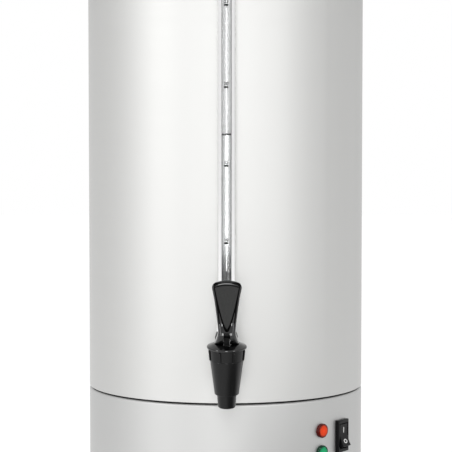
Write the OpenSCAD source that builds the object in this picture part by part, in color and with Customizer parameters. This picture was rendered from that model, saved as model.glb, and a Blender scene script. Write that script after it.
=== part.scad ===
// Hot water dispenser: a tall steel tank on a steel base, with a sight gauge and a lever tap.
// Units are millimetres. The tank's axis is Z, the tap points to -Y, and the foot ring stands on Z = 0.

/* [Tank] */
// Outer diameter of the tank and of the base below it
tank_d = 290; // [280:1:310]
// Height of the tank shell, from its gasket to the top of its rim
tank_h = 495; // [480:1:560]
// Thickness of the tank's sheet
tank_wall = 1; // [0.8:0.1:1.4]
// Outer diameter of the rolled rim
rim_d = 8; // [7:0.5:10]

/* [Base] */
// Height of the foot ring below the skirt
foot_t = 8; // [7:0.5:12]
// Height of the foot ring's outer lip
foot_lip_h = 14; // [11:0.5:18]
// Thickness of the foot ring's outer lip
foot_lip_t = 2; // [1.5:0.5:3]
// Width of the foot ring's sole inside the skirt
foot_sole_w = 10; // [9:0.5:12]
// Height of the base skirt
skirt_h = 92; // [90:1:110]
// Thickness of the base skirt's sheet
skirt_wall = 1; // [0.8:0.1:1.4]
// Outer radius of the skirt's upper edge
skirt_edge_r = 2.5; // [2:0.5:4]
// Width of the skirt's inner flanges
flange_w = 22; // [21:0.5:26]
// Thickness of the gasket between base and tank
gasket_t = 2; // [1.5:0.5:3]
// Step of the gasket inside the skirt's surface
gasket_step = 0.6; // [0.4:0.1:1]
// Thickness of the bottom plate
plate_t = 1.2; // [1:0.1:2]
// Length of one air slot in the bottom plate
air_slot_l = 36; // [24:1:44]
// Width of one air slot in the bottom plate
air_slot_w = 4; // [3:0.5:6]
// Number of air slots
air_slots = 5; // [3:1:7]

/* [Lid] */
// Thickness of the lid's sheet
lid_wall = 0.8; // [0.6:0.1:1.2]
// Depth of the lid's collar inside the tank
lid_collar_h = 14; // [10:1:20]
// Gap between the lid's collar and the tank
lid_gap = 1; // [0.6:0.1:1.5]
// Diameter of the lid's wired edge
lid_edge_d = 5; // [4:0.5:6]
// Rise of the lid's dome
lid_rise = 20; // [14:1:28]
// Diameter of the steam hole
steam_hole_d = 5; // [4:0.5:8]
// Distance of the steam hole from the axis
steam_hole_r = 105; // [80:1:115]
// Diameter of the lid's knob
lid_knob_d = 46; // [40:1:56]
// Height of the lid's knob
lid_knob_h = 30; // [26:1:36]
// Diameter of the knob's foot
lid_knob_foot_d = 28; // [24:1:32]

/* [Handles] */
// Diameter of a handle's bar
handle_d = 20; // [18:1:22]
// Distance between a handle's two legs
handle_w = 96; // [90:1:104]
// Distance from the tank to the middle of the grip
handle_reach = 44; // [42:1:52]
// Bend radius of a handle's corners
handle_bend_r = 17; // [15:1:20]
// Distance of the handles below the top of the tank's rim
handle_drop = 49; // [44:1:60]
// Thickness of a handle's bracket
bracket_t = 1.5; // [1:0.25:2.5]
// Height of a handle's bracket
bracket_h = 30; // [26:1:34]
// Overhang of a bracket past the legs
bracket_over = 16; // [14:1:20]

/* [Tap] */
// Distance from the tank to the tap's axis
tap_reach = 58; // [56:1:66]
// Height of the tap's shank above the tank's bottom
tap_rise = 38; // [34:1:46]
// Lean of the tap, its top forwards
tap_lean = 8; // [0:1:10]
// Diameter of the shank
shank_d = 21; // [20:0.5:22]
// Bore of the shank
shank_bore = 12; // [10:0.5:13]
// Length of the shank inside the tank
shank_in = 18; // [16:1:22]
// Height of the tapered chamber
chamber_h = 34.5; // [33:0.5:36]
// Outer diameter of the chamber at its top
chamber_d_top = 32.4; // [32:0.2:34]
// Outer diameter of the chamber at its bottom
chamber_d_low = 23.2; // [22:0.2:25]
// Bore of the chamber
chamber_bore = 22; // [21:0.5:22.5]
// Height of the spout's tip
tip_h = 13; // [9:0.5:14]
// Outer diameter of the tip at its top
tip_d_top = 18.8; // [17:0.2:20]
// Outer diameter of the tip at its bottom
tip_d_low = 16.6; // [15:0.2:17]
// Bore of the outlet
outlet_d = 11; // [9:0.5:11.5]
// Height of the neck that carries the bonnet
neck_h = 8; // [7:0.5:10]
// Diameter of the bonnet's rim
bonnet_d = 38; // [37:0.5:40]
// Height of the bonnet
bonnet_h = 15.5; // [14:0.5:17]
// Number of grip ribs on the bonnet
bonnet_ribs = 8; // [6:1:12]
// Diameter of the stem
stem_d = 8; // [7:0.5:8.5]

/* [Lever] */
// Height of the lever above the bonnet
lever_h = 62; // [56:1:68]
// Width of the lever at its top
lever_w_top = 27.8; // [24:0.2:30]
// Width of the lever at its waist
lever_w_waist = 16.4; // [16:0.2:18]
// Width of the lever at its foot
lever_w_foot = 21.4; // [20:0.2:24]
// Thickness of the paddle at its top
lever_t = 6; // [5:0.5:8]
// Radius of the lever's cam
cam_r = 8; // [7.5:0.25:9]
// Distance of the cam's centre before the pin
cam_offset = 5; // [4:0.25:5.5]
// Width of the slot between the lever's legs
slot_w = 6.3; // [6:0.1:7]
// Diameter of the lever's pin
pin_d = 3; // [2.6:0.1:3.4]
// Depth of the panel sunk into the paddle
panel_depth = 0.8; // [0.4:0.1:1.2]

/* [Tap spring] */
// Diameter of the spring's wire
wire_d = 1.2; // [0.8:0.1:1.4]
// Mean diameter of the spring's coil
coil_d = 13.5; // [12.5:0.5:15]
// Number of turns
coil_turns = 6; // [4:1:7]

/* [Gauge] */
// Distance from the tank to the gauge's axis
gauge_reach = 16; // [15:0.5:18]
// Outer diameter of the glass
glass_d = 12; // [11:0.5:13]
// Wall of the glass
glass_wall = 1.5; // [1:0.25:2]
// Outer diameter of the shield
shield_d = 18; // [17.5:0.5:19]
// Wall of the shield
shield_wall = 0.8; // [0.6:0.1:1]
// Width of the shield's front slot
shield_slot = 9.6; // [8:0.2:11]
// Distance of the gauge's head below the top of the tank's rim
head_drop = 35; // [29:1:50]
// Height of the gauge's head
head_h = 34; // [30:1:38]
// Diameter of the head and of the ferrule
head_d = 21; // [20.5:0.5:22]
// Height of the ferrule at the shield's foot
ferrule_h = 24; // [16:1:30]
// Diameter of the gauge's nut
gauge_nut_d = 24; // [23:0.5:25]
// Height of the gauge's nut
gauge_nut_h = 16; // [15:0.5:18]
// Diameter of the stud behind the head
head_stud_d = 10; // [9:0.5:12]

/* [Switch] */
// Angle of the switch round the base, from the tap
switch_angle = 54; // [50:1:60]
// Height of the switch above the floor
switch_z = 59; // [56:1:62]
// Width of the switch's frame
switch_w = 19.6; // [19:0.2:22]
// Height of the switch's frame
switch_h = 33; // [32:0.5:36]
// Thickness of the switch's frame
switch_t = 4; // [3.5:0.25:5]
// Width of the rocker
rocker_w = 13.8; // [13:0.2:14.4]
// Length of the rocker
rocker_l = 24.8; // [24:0.2:26]
// Tilt of the rocker at rest
rocker_tilt = 11; // [8:0.5:12]
// Diameter of the rocker's pivots
pivot_d = 2.4; // [2:0.1:3]

/* [Lamps] */
// Angle of the lamps round the base, from the tap
lamp_angle = 41.5; // [36:0.5:43]
// Height of the upper lamp above the floor
lamp_z = 68; // [66:1:70]
// Distance between the two lamps
lamp_pitch = 22; // [20:0.5:24]
// Diameter of a lamp's lens
lens_d = 14.4; // [13:0.2:16]
// Height of a lens
lens_h = 4; // [3.5:0.25:5]
// Diameter of a lamp's body
lamp_body_d = 9.6; // [8:0.2:10]
// Length of a lamp's body
lamp_body_l = 24; // [20:1:28]

/* [Thermostat] */
// Angle of the thermostat round the base, from the tap
knob_angle = 125; // [118:1:135]
// Height of the thermostat above the floor
knob_z = 57; // [52:1:62]
// Diameter of the knob
knob_d = 38; // [34:1:44]
// Height of the knob
knob_h = 17; // [15:0.5:20]
// Side of the thermostat's body
thermostat_w = 34; // [30:1:40]
// Depth of the thermostat's body
thermostat_l = 30; // [24:1:36]
// Diameter of the thermostat's shaft
shaft_d = 6; // [5:0.5:7]

/* [Heating] */
// Diameter of the heating plate
heater_d = 190; // [170:1:210]
// Thickness of the heating plate
heater_t = 6; // [5.5:0.5:9]
// Diameter of the heating ring, at the middle of its tube
element_d = 140; // [120:1:150]
// Diameter of the heating ring's tube
element_tube_d = 8.4; // [7:0.2:9]
// Length of the thermostat's bulb
bulb_l = 60; // [40:1:80]
// Diameter of the thermostat's bulb
bulb_d = 6; // [5:0.5:8]

/* [Cable gland] */
// Height of the cable gland above the floor
gland_z = 40; // [36:1:50]
// Bore for the cable
gland_bore = 8.4; // [7:0.2:9]
// Diameter of the gland's thread
gland_thread_d = 16; // [15:0.5:18]

/* [Hidden] */
$fn = 64;

// Facets of the large cutters, and the overshoot and clearances of cuts
wall_fn = 360;
over = 1;
fit_gap = 0.2;
run_gap = 0.06;
body_gap = 0.3;
touch_gap = 0.05;

// Tank and base
tank_r = tank_d / 2;
tank_in_r = tank_r - tank_wall;
rim_r = rim_d / 2;
skirt_in_r = tank_r - skirt_wall;
seam_z = foot_t + skirt_h;
tank_z = seam_z + gasket_t;
tank_top = tank_z + tank_h;
plate_r = tank_r - 4;
flange_r = tank_r - flange_w;
base_screw_r = flange_r + 5;
base_screw_count = 6;
base_screw_d = 3.4;
base_screw_l = 9;
base_screw_head_d = 7;
base_screw_head_h = 2.4;
base_screw_turn = 20;
stud_r = tank_r - flange_w / 2;
stud_count = 4;
stud_d = 5;
stud_turn = 22;
stud_nut_d = 9.2;
stud_nut_h = 4;
stud_l = gasket_t + skirt_wall + stud_nut_h + 3;
air_slot_pitch = 3 * air_slot_w;

// Lid
lid_z = tank_top + body_gap;
lid_collar_r = tank_in_r - lid_gap;
lid_r = tank_r + rim_d + lid_wall + lid_gap;
lid_edge_r = lid_edge_d / 2;
lid_dome_r = (lid_collar_r * lid_collar_r + lid_rise * lid_rise) / (2 * lid_rise);
lid_dome_z = lid_z + lid_rise - lid_dome_r;
lid_top_z = lid_z + lid_rise;
knob_screw_d = 5;
knob_screw_l = 16;
knob_screw_head_d = 9;
knob_screw_head_h = 3;
knob_foot_h = 4;
knob_head_h = 14;
knob_edge = 4;
knob_waist_r = lid_knob_foot_d * 0.36;
knob_edge_r = lid_knob_d / 2 - knob_edge;
knob_flat = 0.3;

// Handles
handle_z = tank_top - handle_drop;
handle_r = handle_d / 2;
bracket_r = tank_r + bracket_t;
grip_y = tank_r + handle_reach;
handle_screw_d = 5;
handle_screw_head_d = 9;
handle_screw_head_h = 4;

// Tap, measured from the top of its chamber
tap_axis_z = tank_z + tap_rise;
chamber_top = tap_axis_z + shank_d / 2 + 3.3;
chamber_low = chamber_top - chamber_h;
tip_low = chamber_low - tip_h;
neck_top = chamber_top + neck_h;
bonnet_top = chamber_top + bonnet_h;
neck_d = chamber_bore + 6.6;
seat_lip_h = 1.5;
seat_z = chamber_low + 9.4;
tap_y = tank_r + tap_reach;
tap_flange_d = shank_d + 10;
tap_flange_t = 4;
tap_gasket_t = 2;
tap_locknut_d = 34;
tap_locknut_h = 8;
stem_r = stem_d / 2;
cup_d = chamber_bore - 4;
cup_h = 9;
cup_floor = 2;
cup_neck = 3;
cup_z = seat_z + body_gap;
stem_flange_d = 16;
stem_flange_t = 2;
stem_flange_z = cup_z + cup_h;
spring_z = stem_flange_z + stem_flange_t;
stem_room = 4.5;
stem_flat_z = bonnet_top - stem_room;

// Lever
pin_z = bonnet_top + body_gap + cam_r;
pin_r = pin_d / 2;
eye_r = 3.8;
eye_half = 2.6;
eye_w = slot_w - 2 * fit_gap;
lever_top = bonnet_top + lever_h - pin_z;
lever_waist_z = 4.5;
lever_front = cam_offset + 3;
lever_back = 7;
lever_heel = 8;
slot_top = eye_r + 0.4;

// Gauge
gauge_y = tank_r + gauge_reach;
glass_r = glass_d / 2;
shield_r = shield_d / 2;
shield_in_r = shield_r - shield_wall;
port_wall = 2.5;
port_d = glass_d + 2 * port_wall;
port_top = chamber_top + 9.2;
gauge_seal_h = 4;
nut_roof = 8;
nut_slope = 4;
nut_edge = 0.92;
gauge_nut_z = port_top + gauge_seal_h + nut_roof - gauge_nut_h;
gauge_nut_top = gauge_nut_z + gauge_nut_h;
head_z = tank_top - head_drop;
head_low = head_z - head_h * 0.7;
shield_top = head_low + 10;
glass_top = shield_top + 6;
glass_low = port_top - 6;
head_flange_w = 3;
head_flange_t = 3;
head_room = 2;
head_bore = head_stud_d / 2;
head_stud_in = 12;
head_gasket_t = 1.5;
head_nut_d = 18;
head_nut_h = 6;
head_nut_out = sqrt(tank_in_r * tank_in_r - head_nut_d * head_nut_d / 4);

// Switch and lamps
rocker_front = 3.5;
switch_body_w = rocker_w + 2;
switch_body_h = rocker_l + 4;
switch_body_l = 24;
switch_cavity = 10;
rocker_end = 6;
tab_w = 6;
tab_t = 0.8;
tab_l = 8;
tab_pitch = 8;
pivot_out = tank_r + switch_t - rocker_front;
lens_flat_h = lens_h * 0.65;
lens_cap_h = lens_h - lens_flat_h;
lens_cap_r = (lens_d * lens_d / 4 + lens_cap_h * lens_cap_h) / (2 * lens_cap_h);
clip_t = 0.8;
clip_step = 0.3;

// Thermostat
knob_gap = 1.2;
thermostat_front = sqrt(skirt_in_r * skirt_in_r - thermostat_w * thermostat_w / 4) - touch_gap;
neck_wall = 2;
neck_r = shaft_d / 2 + neck_wall;
neck_out = 7;
knob_flange_t = 3;
knob_top_t = 3;
knob_grip_low = 0.8;
knob_grip_top = 0.74;
pointer_w = 1.6;
pointer_l = 0.3;
thermostat_nut_d = 15;
thermostat_nut_h = 3;
shaft_l = tank_r + knob_gap + knob_h - knob_top_t - thermostat_front + thermostat_l / 2 - over;

// Heating
heater_z = tank_z - heater_t;
element_tube_r = element_tube_d / 2;
element_gap_angle = 40;
element_pin_l = 24;
bulb_r = bulb_d / 2;
bulb_y = 22;
bulb_z = heater_z - bulb_r - touch_gap;
clip_w = 12;
clip_wall = 1;

// Limiter and terminals, on the bottom plate
limiter_y = 20;
limiter_d = 32;
limiter_h = 22;
button_d = 8;
button_travel = 2;
button_flange_d = 12;
button_flange_t = 2;
button_out = 3;
button_in = 14;
limiter_ear_t = 3;
limiter_ear_w = 14;
limiter_ear_l = 10;
limiter_screw_x = limiter_d / 2 + limiter_ear_l / 2;
limiter_roof = 4;
terminal_y = 96;
terminal_w = 44;
terminal_l = 22;
terminal_h = 18;
terminal_count = 3;
terminal_wire_d = 5;
terminal_screw_d = 4;
terminal_wire_z = terminal_h * 0.4;
terminal_screw_z = terminal_h * 0.6;

// Cable gland
gland_flange_d = gland_thread_d + 8;
gland_flange_h = 6;
gland_thread_in = 10;
gland_seal_l = 7;
gland_nut_l = 14;
gland_locknut_h = 4;
gland_seal_wall = 2;
gland_dome_low = 4;
gland_dome_top = 5;

// Turns what is modelled at the front round the axis, by an angle from the tap
module at_angle(angle) { rotate([0, 0, angle]) children(); }

// Stands a shape on a radius at the front: its Z points outwards and its Y up
module outwards(height, radius = 0) { translate([0, -radius, height]) rotate([90, 0, 0]) children(); }

// A closed ring
module ring(outer, inner, h) {
    difference() {
        cylinder(r = outer, h = h);
        translate([0, 0, -over]) cylinder(r = inner, h = h + 2 * over);
    }
}

// A quarter of a flat ring, in the first quadrant
module quarter_bend(outer, wall) {
    intersection() {
        difference() {
            circle(outer);
            circle(outer - wall);
        }
        square(outer);
    }
}

// A hexagon nut with a plain bore
module hex_nut(corners, bore, h) {
    difference() {
        cylinder(d = corners, h = h, $fn = 6);
        translate([0, 0, -over]) cylinder(d = bore, h = h + 2 * over);
    }
}

// Copies its children evenly round the axis
module around(count, start = 0) {
    for (i = [0 : count - 1]) rotate([0, 0, start + i * 360 / count]) children();
}

// Base

module foot_ring() color("#1b1b1c") rotate_extrude()
    polygon([[tank_r - foot_sole_w, 0], [tank_r + foot_lip_t, 0], [tank_r + foot_lip_t, foot_lip_h],
        [tank_r, foot_lip_h], [tank_r, foot_t], [plate_r + fit_gap, foot_t],
        [plate_r + fit_gap, foot_t - plate_t], [tank_r - foot_sole_w, foot_t - plate_t]]);

module skirt_profile() {
    translate([skirt_in_r, foot_t]) square([skirt_wall, skirt_h - skirt_edge_r]);
    translate([tank_r - skirt_edge_r, seam_z - skirt_edge_r]) quarter_bend(skirt_edge_r, skirt_wall);
    translate([flange_r, seam_z - skirt_wall]) square([flange_w - skirt_edge_r, skirt_wall]);
    translate([flange_r, foot_t]) square([flange_w - skirt_wall, skirt_wall]);
}

module base_skirt() color("silver") difference() {
    rotate_extrude() skirt_profile();
    around(stud_count, stud_turn) translate([stud_r, 0, seam_z - 2 * skirt_wall])
        cylinder(d = stud_d + 2 * fit_gap, h = 4 * skirt_wall);
    around(base_screw_count, base_screw_turn) translate([base_screw_r, 0, foot_t - skirt_wall])
        cylinder(d = base_screw_d, h = 4 * skirt_wall);
    at_angle(switch_angle) outwards(switch_z, flange_r)
        translate([0, 0, flange_w / 2]) cube([switch_body_w + 2 * fit_gap, switch_body_h + 2 * fit_gap,
            flange_w + 2 * over], center = true);
    at_angle(lamp_angle) for (i = [0, 1]) outwards(lamp_z - i * lamp_pitch, flange_r)
        cylinder(d = lamp_body_d + 2 * fit_gap, h = flange_w + over);
    at_angle(knob_angle) outwards(knob_z, flange_r) cylinder(r = neck_r + fit_gap, h = flange_w + over);
    at_angle(180) outwards(gland_z, flange_r) cylinder(d = gland_thread_d + 2 * fit_gap, h = flange_w + over);
}

module bottom_plate() color("#b9bab8") difference() {
    translate([0, 0, foot_t - plate_t]) cylinder(r = plate_r, h = plate_t);
    around(base_screw_count, base_screw_turn) translate([base_screw_r, 0, foot_t - plate_t - over])
        cylinder(d = base_screw_d, h = plate_t + 2 * over);
    translate([0, limiter_y, foot_t - plate_t - over])
        cylinder(d = button_d + 2 * body_gap, h = plate_t + 2 * over);
    for (side = [-1, 1]) for (i = [0 : air_slots - 1])
        translate([side * plate_r / 2, (i - (air_slots - 1) / 2) * air_slot_pitch, foot_t - plate_t / 2])
            cube([air_slot_l, air_slot_w, plate_t + 2 * over], center = true);
}

module base_screws() color("#9b9b9b") around(base_screw_count, base_screw_turn)
    translate([base_screw_r, 0, foot_t - plate_t]) {
        translate([0, 0, -base_screw_head_h]) cylinder(d = base_screw_head_d, h = base_screw_head_h);
        cylinder(d = base_screw_d, h = base_screw_l);
    }

module base_gasket() color("#101010") translate([0, 0, seam_z]) difference() {
    ring(tank_r - gasket_step, flange_r, gasket_t);
    around(stud_count, stud_turn) translate([stud_r, 0, -over])
        cylinder(d = stud_d + 2 * fit_gap, h = gasket_t + 2 * over);
}

// Tank

// The curl of the rim, open beside the wall
module rim_roll() {
    translate([tank_in_r + tank_wall / 2 + rim_r, tank_top - rim_r]) difference() {
        circle(rim_r);
        circle(rim_r - tank_wall);
        translate([-rim_r, -rim_r]) square([rim_r * 0.6, rim_r * 0.85]);
    }
}

module tank_shell() color("silver") difference() {
    rotate_extrude() {
        translate([tank_in_r, tank_z]) square([tank_wall, tank_h - rim_r]);
        rim_roll();
    }
    outwards(tap_axis_z, tank_in_r - tank_wall) cylinder(d = shank_d + 2 * fit_gap, h = 4 * tank_wall);
    outwards(head_z, tank_in_r - tank_wall) cylinder(d = head_stud_d + 2 * fit_gap, h = 4 * tank_wall);
}

module tank_bottom() color("silver") translate([0, 0, tank_z]) cylinder(r = tank_in_r, h = tank_wall);

module tank_studs() color("#9b9b9b") around(stud_count, stud_turn)
    translate([stud_r, 0, tank_z - stud_l]) cylinder(d = stud_d, h = stud_l);

module tank_nuts() color("#9b9b9b") around(stud_count, stud_turn)
    translate([stud_r, 0, seam_z - skirt_wall - stud_nut_h]) hex_nut(stud_nut_d, stud_d, stud_nut_h);

// Heating

module heating_ring(radius) {
    rotate([0, 0, 90 + element_gap_angle / 2]) rotate_extrude(angle = 360 - element_gap_angle)
        translate([element_d / 2, 0]) circle(radius);
}

module heating_plate() color("#c2c4c6") difference() {
    translate([0, 0, heater_z]) cylinder(d = heater_d, h = heater_t);
    translate([0, 0, heater_z]) rotate_extrude()
        translate([element_d / 2, 0]) circle(element_tube_r + touch_gap);
}

module heating_element() color("#77736b") translate([0, 0, heater_z]) {
    heating_ring(element_tube_r);
    for (side = [-1, 1]) rotate([0, 0, 90 + side * (element_gap_angle / 2 + 1)])
        translate([element_d / 2, 0, -element_pin_l]) cylinder(r = element_tube_r * 0.6, h = element_pin_l);
}

module thermostat_bulb() color("#b5763f") translate([-bulb_l / 2, bulb_y, bulb_z])
    rotate([0, 90, 0]) cylinder(r = bulb_r, h = bulb_l);

module bulb_clip() color("#a9aaaa") translate([-clip_w / 2, bulb_y, bulb_z]) difference() {
    translate([0, -bulb_r - clip_wall - touch_gap, -bulb_r - clip_wall])
        cube([clip_w, 2 * (bulb_r + clip_wall + touch_gap), heater_z - bulb_z + bulb_r + clip_wall]);
    translate([-over, 0, 0]) rotate([0, 90, 0]) cylinder(r = bulb_r + touch_gap, h = clip_w + 2 * over);
    translate([-over, -bulb_r - touch_gap, 0])
        cube([clip_w + 2 * over, 2 * (bulb_r + touch_gap), heater_z - bulb_z + over]);
}

// Thermostat, on the right of the base behind the photographed side

module thermostat_body() color("#d8d4c6") at_angle(knob_angle) difference() {
    outwards(knob_z, thermostat_front) {
        translate([0, 0, -thermostat_l / 2]) cube([thermostat_w, thermostat_w, thermostat_l], center = true);
        cylinder(r = neck_r, h = tank_r + neck_out - thermostat_front);
    }
    outwards(knob_z, thermostat_front - thermostat_l / 2)
        cylinder(d = shaft_d + 2 * run_gap, h = thermostat_l + tank_r);
}

module thermostat_nut() color("#9b9b9b") at_angle(knob_angle) outwards(knob_z, tank_r)
    hex_nut(thermostat_nut_d, 2 * neck_r, thermostat_nut_h);

module thermostat_shaft() color("#c9a85a") at_angle(knob_angle)
    outwards(knob_z, thermostat_front - thermostat_l / 2 + over)
        cylinder(d = shaft_d, h = shaft_l);

module thermostat_knob() color("#151516") at_angle(knob_angle)
    outwards(knob_z, tank_r + knob_gap) difference() {
        union() {
            cylinder(d = knob_d, h = knob_flange_t);
            translate([0, 0, knob_flange_t]) cylinder(d1 = knob_d * knob_grip_low,
                d2 = knob_d * knob_grip_top, h = knob_h - knob_flange_t);
        }
        translate([0, 0, -over]) cylinder(d = thermostat_nut_d + 2 * over, h = neck_out + over);
        cylinder(d = shaft_d, h = knob_h - knob_top_t);
        translate([0, knob_d * pointer_l, knob_h])
            cube([pointer_w, knob_d * pointer_l, pointer_w], center = true);
    }

// Limiter and terminals

module limiter_body() color("#2c2c2e") translate([0, limiter_y, foot_t]) difference() {
    union() {
        cylinder(d = limiter_d, h = limiter_h);
        translate([0, 0, limiter_ear_t / 2])
            cube([limiter_d + 2 * limiter_ear_l, limiter_ear_w, limiter_ear_t], center = true);
    }
    translate([0, 0, -over]) cylinder(d = button_flange_d + 2 * body_gap,
        h = button_flange_t + button_travel + 3 * over);
    cylinder(d = button_d + 2 * run_gap, h = limiter_h - limiter_roof);
    for (side = [-1, 1]) translate([side * limiter_screw_x, 0, -over])
        cylinder(d = base_screw_d, h = limiter_ear_t + 2 * over);
}

module reset_button() color("#b3261e") translate([0, limiter_y, foot_t]) {
    translate([0, 0, -plate_t - button_out]) cylinder(d = button_d, h = plate_t + button_out + button_in);
    translate([0, 0, body_gap]) cylinder(d = button_flange_d, h = button_flange_t);
}

module limiter_screws() color("#9b9b9b") for (side = [-1, 1])
    translate([side * limiter_screw_x, limiter_y, foot_t]) {
        cylinder(d = base_screw_d, h = limiter_ear_t);
        translate([0, 0, limiter_ear_t]) cylinder(d = base_screw_head_d, h = base_screw_head_h);
    }

module terminal_block() color("#e6e2d6") translate([0, terminal_y, foot_t]) difference() {
    translate([0, 0, terminal_h / 2]) cube([terminal_w, terminal_l, terminal_h], center = true);
    for (i = [0 : terminal_count - 1]) translate([terminal_place(i), 0, 0]) {
        translate([0, 0, terminal_wire_z]) rotate([90, 0, 0])
            cylinder(d = terminal_wire_d, h = terminal_l + 2 * over, center = true);
        translate([0, 0, terminal_screw_z]) cylinder(d = terminal_screw_d, h = terminal_h);
    }
}

function terminal_place(i) = (i - (terminal_count - 1) / 2) * terminal_w / terminal_count;

module terminal_screws() color("#c9a85a") for (i = [0 : terminal_count - 1])
    translate([terminal_place(i), terminal_y, foot_t + terminal_screw_z])
        cylinder(d = terminal_screw_d, h = terminal_screw_z / 2);

// Switch and lamps

module switch_housing() color("#161617") at_angle(switch_angle) difference() {
    outwards(switch_z, tank_r) {
        translate([0, 0, switch_t / 2]) cube([switch_w, switch_h, switch_t], center = true);
        translate([0, 0, -switch_body_l / 2])
            cube([switch_body_w, switch_body_h, switch_body_l], center = true);
        for (i = [-1, 0, 1]) translate([0, i * tab_pitch, -switch_body_l - tab_l / 2])
            cube([tab_w, tab_t, tab_l], center = true);
    }
    outwards(switch_z, tank_r + switch_t - switch_cavity / 2)
        cube([rocker_w + 2 * body_gap, rocker_l + 2 * body_gap, switch_cavity + 2 * over], center = true);
    outwards(switch_z, pivot_out) rotate([0, 90, 0])
        cylinder(d = pivot_d + 2 * run_gap, h = rocker_w + 3 * over, center = true);
}

// The rocker's side view: X runs along the paddle and Y outwards from its pivot
module rocker_profile() intersection() {
    circle(d = rocker_l);
    polygon([[-rocker_l, rocker_end], [0, rocker_front], [rocker_l, rocker_end],
        [rocker_l, -rocker_front], [-rocker_l, -rocker_front]]);
}

module switch_rocker() color("#1d1d1f") at_angle(switch_angle) outwards(switch_z, pivot_out)
    rotate([-rocker_tilt, 0, 0]) {
        rotate([0, 90, 0]) rotate([0, 0, 90]) linear_extrude(rocker_w, center = true) rocker_profile();
        rotate([0, 90, 0]) cylinder(d = pivot_d, h = rocker_w + 2 * over, center = true);
    }

module lamp_place(i) { at_angle(lamp_angle) outwards(lamp_z - i * lamp_pitch, tank_r) children(); }

module lamp_lens(i) lamp_place(i) {
    cylinder(d = lens_d, h = lens_flat_h);
    translate([0, 0, lens_flat_h]) intersection() {
        cylinder(d = lens_d, h = lens_cap_h);
        translate([0, 0, lens_cap_h - lens_cap_r]) sphere(lens_cap_r);
    }
}

module lamp_body(i) lamp_place(i) translate([0, 0, -lamp_body_l]) cylinder(d = lamp_body_d, h = lamp_body_l);

module red_lamp_lens() color("#e2461c") lamp_lens(0);
module green_lamp_lens() color("#1fa05a") lamp_lens(1);
module red_lamp_body() color("#dad7cf") lamp_body(0);
module green_lamp_body() color("#dad7cf") lamp_body(1);

module lamp_clips() color("#9b9b9b") for (i = [0, 1]) lamp_place(i)
    translate([0, 0, -skirt_wall - clip_t - clip_step]) ring(lens_d / 2, lamp_body_d / 2, clip_t);

// Cable gland, at the back of the base

module gland_place(radius) { at_angle(180) outwards(gland_z, radius) children(); }

module gland_body() color("#1b1b1c") difference() {
    gland_place(tank_r) {
        cylinder(d = gland_flange_d, h = gland_flange_h, $fn = 6);
        translate([0, 0, -gland_thread_in]) cylinder(d = gland_thread_d, h = gland_thread_in);
        cylinder(d = gland_thread_d, h = gland_flange_h + gland_seal_l);
    }
    gland_place(tank_r - gland_thread_in - over) cylinder(d = gland_bore, h = 3 * gland_nut_l);
    gland_place(tank_r + gland_flange_h)
        cylinder(d = gland_bore + 2 * gland_seal_wall, h = gland_seal_l + over);
}

module gland_seal() color("#3a3a3a") gland_place(tank_r + gland_flange_h)
    ring(gland_bore / 2 + gland_seal_wall, gland_bore / 2, gland_seal_l);

module gland_nut() color("#1b1b1c") gland_place(tank_r + gland_flange_h) difference() {
    union() {
        cylinder(d = gland_flange_d, h = gland_seal_l, $fn = 6);
        translate([0, 0, gland_seal_l]) cylinder(d1 = gland_thread_d + gland_dome_low,
            d2 = gland_bore + gland_dome_top, h = gland_nut_l - gland_seal_l);
    }
    translate([0, 0, -over]) cylinder(d = gland_thread_d, h = gland_seal_l + over);
    cylinder(d = gland_bore, h = gland_nut_l + over);
}

module gland_locknut() color("#1b1b1c") intersection() {
    gland_place(skirt_in_r - gland_locknut_h - over)
        hex_nut(gland_flange_d, gland_thread_d, gland_locknut_h + 2 * over);
    translate([0, 0, gland_z - gland_flange_d])
        cylinder(r = skirt_in_r, h = 2 * gland_flange_d, $fn = wall_fn);
}

// Tap

// A height on the leaning axis of the tap, which crosses its shank's
module tap_axis(z) {
    translate([0, -tap_y, tap_axis_z]) rotate([tap_lean, 0, 0]) translate([0, 0, z - tap_axis_z]) children();
}

module tap_outside() {
    tap_axis(tip_low) cylinder(d1 = tip_d_low, d2 = tip_d_top, h = tip_h);
    tap_axis(chamber_low) cylinder(d1 = chamber_d_low, d2 = chamber_d_top, h = chamber_h);
    tap_axis(chamber_top) cylinder(d = neck_d, h = neck_h);
    outwards(tap_axis_z, tank_in_r - shank_in) cylinder(d = shank_d, h = tap_reach + shank_in + tank_wall);
    outwards(tap_axis_z, tank_r + tap_gasket_t) cylinder(d = tap_flange_d, h = tap_flange_t);
    translate([0, -gauge_y, tap_axis_z]) cylinder(d = port_d, h = port_top - tap_axis_z);
}

module tap_body() color("#141415") difference() {
    tap_outside();
    tap_axis(tip_low - over) cylinder(d = outlet_d, h = seat_z - tip_low + 2 * over);
    tap_axis(seat_z) cylinder(d = chamber_bore, h = neck_top - seat_z + over);
    tap_axis(seat_z - seat_lip_h) ring(chamber_bore / 2, outlet_d / 2 + seat_lip_h, seat_lip_h + over);
    outwards(tap_axis_z, tank_in_r - shank_in - over)
        cylinder(d = shank_bore, h = tap_reach + shank_in + over);
    translate([0, -gauge_y, tap_axis_z]) cylinder(r = glass_r - glass_wall, h = port_top);
    translate([0, -gauge_y, glass_low]) cylinder(r = glass_r + fit_gap, h = port_top);
}

module tap_gasket_outer() color("#8f8f8c") difference() {
    outwards(tap_axis_z, tank_r - 2 * over) ring(tap_flange_d / 2, shank_d / 2, tap_gasket_t + 2 * over);
    translate([0, 0, tap_axis_z - tap_flange_d]) cylinder(r = tank_r, h = 2 * tap_flange_d, $fn = wall_fn);
}

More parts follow.
